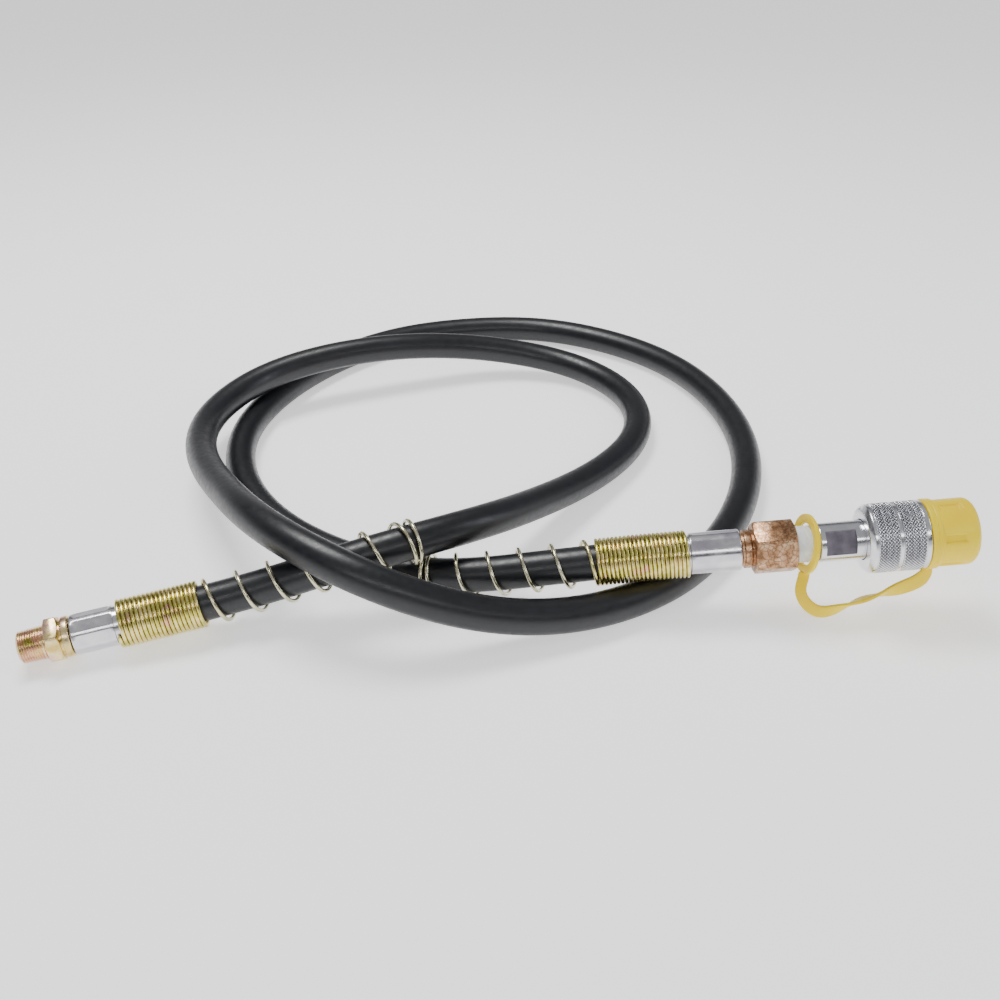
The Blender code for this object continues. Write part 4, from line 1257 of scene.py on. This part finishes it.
@dataclass
class KnurledCollar:
    """The screw collar: two bands of diamond knurl with a groove between them."""

    start: float = 108.1
    end: float = 132.0
    radius: float = 14.3
    bands: tuple[tuple[float, float], ...] = ((111.2, 119.8), (121.2, 130.0))
    diamonds: int = 60
    slant: float = 0.86
    knurl_depth: float = 0.5
    tip_cut: float = 0.62
    # how strongly the painted shade in the knurl grooves grows with depth
    groove_shade_gain: float = 1.3
    columns: int = 480

    def knurled(self, x: np.ndarray, r: np.ndarray, angle: np.ndarray) -> np.ndarray:
        """Raise diamonds between two sets of V grooves that cross.

        With the grooves at whole numbers of (n angle / turn + x / p) and (n angle / turn - x / p),
        the height is the smaller of the two triangle waves, clipped so that the tips are flat, and
        faded out at each band's edges.
        """
        pitch = TURN * self.radius / self.diamonds * self.slant
        first = saw(self.diamonds * angle / TURN + x / pitch)
        second = saw(self.diamonds * angle / TURN - x / pitch)
        height = np.clip(np.minimum(first, second) / self.tip_cut, 0.0, 1.0)
        share = np.zeros_like(x)
        for low, high in self.bands:
            rise = smooth_step(x, low + 0.1, low + 0.5)
            share += rise * (1.0 - smooth_step(x, high - 0.5, high - 0.2))
        outside = r > self.radius - 0.05
        return np.where(outside, r - self.knurl_depth * (1.0 - height) * share, r)

    def build(self, finish: bpy.types.Material) -> bpy.types.Object:
        """Make the collar round the body's flange, with the wire ring's groove inside it."""
        groove = 13.55
        outline = rounded_outline([
            Corner(self.start, 8.55, 0.2), Corner(self.start, 12.6, 0.3),
            Corner(109.9, self.radius, 0.35), Corner(110.9, self.radius, 0.1),
            Corner(111.1, self.radius - 0.3, 0.1), Corner(111.3, self.radius, 0.05),
            Corner(119.7, self.radius, 0.1), Corner(119.9, groove, 0.15),
            Corner(121.1, groove, 0.15), Corner(121.3, self.radius, 0.1),
            Corner(129.8, self.radius, 0.05), Corner(130.0, self.radius - 0.3, 0.1),
            Corner(130.2, self.radius, 0.1),
            Corner(self.end, self.radius, 0.5), Corner(self.end, 11.7, 0.2),
            Corner(121.0, 11.5, 0.1), Corner(119.0, 11.5, 0.1),
            Corner(119.0, 11.9, 0.1), Corner(117.2, 11.9, 0.1), Corner(117.2, 11.2, 0.1),
            Corner(112.9, 11.2, 0.2), Corner(112.9, 8.55, 0.2)], steps=4)
        for low, high in self.bands:
            outline = refined(outline, low, high, 0.20)
        skin = Lathe(END_B, self.columns).turned(outline, self.knurled, sharp=42.0)
        piece = skin.build("collar_knurled")
        self.mark_grooves(piece)
        return dress(piece, finish, Body.COLLAR, Slot.BRIGHT_ZINC, "knurled_collar")

    def mark_grooves(self, piece: bpy.types.Object) -> None:
        """Store each knurl vertex's painted shade from how deep it lies, 0 on the diamonds and 1
        in the grooves.
        """
        mesh = piece.data
        places = np.empty(len(mesh.vertices) * 3)
        mesh.vertices.foreach_get("co", places)
        local = END_B.read(places.reshape(-1, 3))
        radius = np.hypot(local[:, 1], local[:, 2])
        x = local[:, 0]
        inside = np.logical_or.reduce([(x > low) & (x < high - 0.2) for low, high in self.bands])
        inside &= radius > self.radius - self.knurl_depth - 0.05
        # painted shade, darker the deeper the vertex lies
        sunk = (self.radius - radius) / self.knurl_depth * self.groove_shade_gain
        store_share(piece, "groove_shade", np.clip(sunk, 0.0, 1.0) * inside)


@dataclass
class DustCap:
    """Hollow moulded cap: plug inside the collar, bead against it and a fluted barrel."""

    bead_from: float = 132.3
    bead_to: float = 136.3
    bead_radius: float = 14.55
    barrel: float = 13.75
    end: float = 152.0
    flutes: int = 6
    flute_turn: float = 96.0
    flute_depth: float = 0.9
    flute_floor: float = 5.6
    flute_edge: float = 8.4
    columns: int = 240

    def fluted(self, x: np.ndarray, r: np.ndarray, angle: np.ndarray) -> np.ndarray:
        """Press in the grip flutes: depth * a smooth step across * a smooth step along each."""
        sector = TURN / self.flutes
        turned = angle - math.radians(self.flute_turn) + sector / 2.0
        off = np.abs(turned % sector - sector / 2.0)
        floor, edge = math.radians(self.flute_floor), math.radians(self.flute_edge)
        across = 1.0 - smooth_step(off, floor, edge)
        along = smooth_step(x, self.bead_to + 0.9, self.bead_to + 1.7)
        along = along * (1.0 - smooth_step(x, self.end - 6.6, self.end - 5.2))
        outside = (r > 12.6) & (x > self.bead_to + 0.2)
        return np.where(outside, r - self.flute_depth * across * along, r)

    def build(self, finish: bpy.types.Material) -> bpy.types.Object:
        """Make the cap as one skin whose first and last rows close on the axis."""
        b0, b1 = self.bead_from, self.bead_to
        outline = rounded_outline([
            Corner(self.end - 1.1, 0.0), Corner(self.end - 1.1, 10.6, 0.8),
            Corner(self.end - 2.6, 11.8, 0.8),
            Corner(134.0, 11.8, 0.3), Corner(132.4, 9.9, 0.3), Corner(122.0, 9.9, 0.3),
            Corner(122.0, 11.0, 0.4), Corner(b0, 11.0, 0.1), Corner(b0, self.bead_radius, 0.9),
            Corner(b0 + 2.1, self.bead_radius, 0.3),
            Corner(b0 + 2.45, self.bead_radius - 0.35, 0.2),
            Corner(b0 + 2.8, self.bead_radius - 0.1, 0.3), Corner(b1, self.bead_radius - 0.1, 0.6),
            Corner(b1 + 0.3, self.barrel, 0.25), Corner(self.end - 2.0, self.barrel, 1.0),
            Corner(self.end, self.barrel - 1.7, 1.4), Corner(self.end, 8.0, 0.5),
            Corner(self.end - 0.5, 7.4, 0.4), Corner(self.end - 0.5, 0.0)], closed=False, steps=6)
        outline[[0, -1], 1] = NEAR_AXIS
        outline = refined(outline, b1 + 0.5, self.end - 2.6, 0.4)
        lathe = Lathe(END_B, self.columns)
        skin = lathe.turned(outline, self.fluted, loop=False, sharp=50.0)
        return dress(skin.build("cap_moulding"), finish, Body.CAP, Slot.YELLOW, "dust_cap")


@dataclass
class Tether:
    """The ring round the coupler's neck and the flat strap that hangs from it to the cap.

    The reach holds points of the strap's line, from the cap's bead towards the ring: how far
    along the coupler's axis, and how far out from it.
    """

    ring_x: float = 85.8
    ring_in: float = 8.7
    ring_out: float = 12.5
    ring_thick: float = 1.8
    lean: float = 10.0
    yaw: float = 6.0
    swing: float = 25.0
    width: float = 6.6
    end_width: float = 4.6
    thick: float = 1.6
    twist: float = 75.0
    bar_points: int = 20
    ring_columns: int = 120
    stations: int = 200
    reach: tuple[tuple[float, float], ...] = (
        (134.3, 14.2), (132.4, 18.0), (127.0, 20.8), (117.5, 23.2), (106.0, 26.0), (96.0, 28.8),
        (89.5, 29.0), (84.9, 25.6), (82.6, 19.5))

    def ring_turn(self) -> np.ndarray:
        """Turn that leans the ring: about the level axis, then about the upright one."""
        a, b = math.radians(self.lean), math.radians(self.yaw)
        lean = np.array([[math.cos(a), 0, math.sin(a)], [0, 1, 0], [-math.sin(a), 0, math.cos(a)]])
        yaw = np.array([[math.cos(b), -math.sin(b), 0], [math.sin(b), math.cos(b), 0], [0, 0, 1]])
        return lean @ yaw

    def build_ring(self, finish: bpy.types.Material) -> bpy.types.Object:
        """Make the ring: a rounded flat section turned about its own leaning axis."""
        half = self.ring_thick / 2.0
        outline = rounded_outline([
            Corner(-half, self.ring_in, 0.6), Corner(-half, self.ring_out, 0.6),
            Corner(half, self.ring_out, 0.6), Corner(half, self.ring_in, 0.6)])
        lathe = Lathe(END_B, self.ring_columns)
        angle = lathe.angles()
        x, r = lathe.rows(outline)
        local = np.stack([x, r * np.cos(angle), r * np.sin(angle)], axis=-1)
        placed = local.reshape(-1, 3) @ self.ring_turn().T + np.array([self.ring_x, 0.0, 0.0])
        skin = Skin(END_B.place(placed).reshape(local.shape), True, run_lengths(outline))
        return dress(skin.build("neck_ring"), finish, Body.TETHER, Slot.YELLOW, "tether_ring")

    def build_strap(self, finish: bpy.types.Material) -> bpy.types.Object:
        """Make the strap: a rounded flat section carried along its sagging line and twisted.

        The section is turned by the twist times (1 - sin^8(pi share^0.82)), so that it is turned
        most near both ends and not in the middle; it narrows at the bead and towards the ring.
        """
        swing = math.radians(self.swing)
        down = np.array([0.0, -math.sin(swing), -math.cos(swing)])
        rim = self.ring_turn() @ (down * (self.ring_out - 0.5))
        ring_end = np.array([self.ring_x, 0.0, 0.0]) + rim
        path = np.array([np.array([x, 0.0, 0.0]) + down * r for x, r in self.reach] + [ring_end])
        curve = spline_through(path, down, -unit(rim), 600)
        at = run_lengths(curve)
        share = np.linspace(0.0, 1.0, self.stations)
        centres = read_along(curve, at, share * at[-1])
        runs = unit(np.gradient(centres, axis=0))
        across = np.cross(runs, np.cross([1.0, 0.0, 0.0], down))
        wide = unit(np.cross(across, runs))
        thin = np.cross(runs, wide)
        turn = np.radians(self.twist) * (1.0 - np.sin(math.pi * share ** 0.82) ** 8)
        c, s = np.cos(turn)[:, None], np.sin(turn)[:, None]
        wide, thin = wide * c + thin * s, thin * c - wide * s
        narrow = self.end_width / self.width
        narrowing = np.interp(share, [0.0, 0.07, 0.5, 0.9], [0.68, 1.0, 1.0, narrow])
        section = self.strap_section(self.width / 2.0 * narrowing)
        skin = sweep(END_B.place(centres), wide @ END_B.basis(), thin @ END_B.basis(), section)
        return dress(skin.build("strap_moulding"), finish, None, Slot.YELLOW, "tether_strap")

    def strap_section(self, width: np.ndarray) -> np.ndarray:
        """A flat bar with rounded edges (a stretched super-ellipse) for every half width."""
        angle = TURN * np.arange(self.bar_points) / self.bar_points
        u = np.sign(np.cos(angle)) * np.abs(np.cos(angle)) ** 0.5
        v = np.sign(np.sin(angle)) * np.abs(np.sin(angle)) ** 0.5 * self.thick / 2.0
        thick = np.broadcast_to(v, (len(width), self.bar_points))
        return np.stack([width[:, None] * u, thick], axis=-1)

    def join(self, strap: bpy.types.Object) -> None:
        """Work out the axis points at the ring and the cap, and bake the strap's placement into
        its mesh.
        """
        start, end = END_B.at(self.ring_x + 1.0) * MM, END_B.at(133.5) * MM
        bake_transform(strap)


# ---------------------------------------------------------------- studio

@dataclass
class Studio:
    """Camera, floor, soft lights and sky.

    The sky holds stops of a grey, each a height (0 at the horizon, 1 overhead) and a brightness.
    """

    eye: tuple[float, float, float] = (-0.003, -0.323, 0.272)
    pitch: float = 57.0
    lens: float = 36.0
    floor_half: float = 15.0
    floor_drop: float = 0.0003
    floor_glow: float = 0.78
    sky_strength: float = 0.84
    sky: tuple[tuple[float, float], ...] = (
        (0.0, 0.92), (0.20, 0.90), (0.27, 0.10), (0.36, 0.10), (0.66, 0.50))

    def camera(self) -> None:
        """Place the camera, level and looking along +Y."""
        data = bpy.data.cameras.new("studio_camera")
        data.lens = self.lens
        data.sensor_width = 36.0
        data.clip_start = 0.01
        camera = bpy.data.objects.new("studio_camera", data)
        camera.location = self.eye
        camera.rotation_euler = (math.radians(self.pitch), 0.0, 0.0)
        bpy.context.scene.collection.objects.link(camera)
        bpy.context.scene.camera = camera

    def floor(self) -> None:
        """A wide pale floor just below the hose."""
        mesh = bpy.data.meshes.new("studio_floor")
        half, z = self.floor_half, -self.floor_drop
        corners = [(-half, -half, z), (half, -half, z), (half, half, z), (-half, half, z)]
        mesh.from_pydata(corners, [], [(0, 1, 2, 3)])
        floor = bpy.data.objects.new("studio_floor", mesh)
        bpy.context.scene.collection.objects.link(floor)
        tree = Tree("studio_floor_paint")
        tree.settle(Roughness=0.85, Specular_IOR_Level=0.15, Emission_Strength=self.floor_glow)
        tree.shader.inputs["Emission Color"].default_value = (1.0, 1.0, 1.0, 1.0)
        tree.shader.inputs["Base Color"].default_value = (0.93, 0.93, 0.94, 1.0)
        mesh.materials.append(tree.material)

    def light(self, name: str, place: Sequence[float], aim: Sequence[float],
              size: tuple[float, float], watts: float,
              colour: Sequence[float] = (1.0, 1.0, 1.0)) -> None:
        """One rectangular soft light.

        Args:
            name: the light's name.
            place: where it hangs, in metres.
            aim: the point it faces.
            size: its width and height in metres.
            watts: its power.
            colour: its colour.
        """
        data = bpy.data.lights.new(name, "AREA")
        data.shape = "RECTANGLE"
        data.size, data.size_y = size
        data.energy = watts
        data.color = tuple(colour)
        lamp = bpy.data.objects.new(name, data)
        lamp.location = tuple(place)
        way = np.array(aim, float) - np.array(place, float)
        pitch = math.atan2(math.hypot(way[0], way[1]), -way[2])
        lamp.rotation_euler = (pitch, 0.0, math.atan2(way[1], way[0]) - math.pi / 2.0)
        bpy.context.scene.collection.objects.link(lamp)

    def world(self) -> None:
        """A soft surrounding: pale round the horizon, a dark band above it, and pale overhead."""
        world = bpy.data.worlds.new("studio_world")
        bpy.context.scene.world = world
        world.use_nodes = True
        nodes, links = world.node_tree.nodes, world.node_tree.links
        place = nodes.new("ShaderNodeTexCoord")
        split = nodes.new("ShaderNodeSeparateXYZ")
        ramp = nodes.new("ShaderNodeValToRGB")
        fill_ramp(ramp, [(height, (grey, grey, grey * 1.03)) for height, grey in self.sky])
        links.new(place.outputs["Generated"], split.inputs["Vector"])
        links.new(split.outputs["Z"], ramp.inputs["Fac"])
        links.new(ramp.outputs["Color"], nodes["Background"].inputs["Color"])
        nodes["Background"].inputs["Strength"].default_value = self.sky_strength

    def build(self) -> None:
        """Set up the whole studio."""
        self.camera()
        self.floor()
        self.world()
        self.light("key_softbox", (-0.25, 0.35, 0.95), (0.0, 0.1, 0.0), (0.5, 0.3), 8.0)
        self.light("front_strip", (0.1, -0.9, 0.75), (0.0, 0.0, 0.0), (1.3, 0.14), 3.2)
        self.light("side_fill", (1.0, 0.0, 0.5), (0.1, 0.0, 0.0), (0.25, 0.6), 2.0,
                   (0.88, 0.93, 1.0))


# ---------------------------------------------------------------- the assembly

@dataclass
class HoseAssembly:
    """The whole assembly, in the order it is made."""

    finishes: Finishes = field(default_factory=Finishes)
    hose: Hose = field(default_factory=Hose)

    def build_guards(self) -> None:
        """Wind both spring guards round the hose's centre line."""
        line = self.hose.curve()
        guard_a = SpringGuard("guard_coil_a", "spring_guard_a", close_turns=19.25, open_turns=6.0,
                              open_pitch=13.6, start_turn=88.0)
        guard_a.build(np.vstack([END_A.at(0.0), line]), self.finishes.guard)
        guard_b = SpringGuard("guard_coil_b", "spring_guard_b", close_turns=22.0, open_turns=4.6,
                              open_pitch=13.9, start_turn=200.0)
        guard_b.build(np.vstack([END_B.at(37.4), line[::-1]]), self.finishes.guard)

    def build_fittings(self) -> None:
        """Make the fittings of both ends."""
        f = self.finishes
        MaleEnd().build(f.yellow_zinc)
        Ferrule("ferrule_a_pressed", "ferrule_a", END_A, lock=-16.8, shoulder=-0.3, skirt=10.0,
                radius=8.2, press=0.34).build(f.ferrule)
        Ferrule("ferrule_b_pressed", "ferrule_b", END_B, lock=58.4, shoulder=37.7, skirt=27.3,
                radius=8.6, press=0.14).build(f.ferrule)
        HexEnd().build(f.copper)
        ThreadTape().build(f.tape)
        CouplerBody().build(f.bright, f.milled)
        CouplerNose().build(f.bright)
        Valve().build(f.steel, f.seal)
        KnurledCollar().build(f.knurled)

    def build_cap(self) -> None:
        """Make the yellow cap, its strap and the neck ring."""
        DustCap().build(self.finishes.yellow)
        tether = Tether()
        tether.build_ring(self.finishes.yellow)
        tether.join(tether.build_strap(self.finishes.yellow))

    def finish_hidden(self) -> None:
        """Finish the pieces that keep their CAD meshes inside the fittings."""
        f = self.finishes
        for node in ("liner_end_a", "liner_end_b", "body_seal"):
            finish_node(node, f.seal)
        for node in ("braid_end_a", "braid_end_b"):
            finish_node(node, f.braid)
        for node in ("poppet_guide", "valve_spring", "collar_ring"):
            finish_node(node, f.steel)
        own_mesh(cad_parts["valve_spring"], "poppet_travel", tuple(END_B.basis()[0]),
                  tuple(END_B.at(118.3) * MM), keep=0.79)

    def build(self) -> None:
        """Make everything: the hose first, then what is on it."""
        self.hose.build(self.finishes.hose)
        self.build_guards()
        self.build_fittings()
        self.build_cap()
        self.finish_hidden()


def main() -> None:
    """Set up the studio, then build the assembly."""
    logging.basicConfig(level=logging.INFO, format="%(name)s: %(message)s")
    Studio().build()
    HoseAssembly().build()


if __name__ == "__main__":
    main()
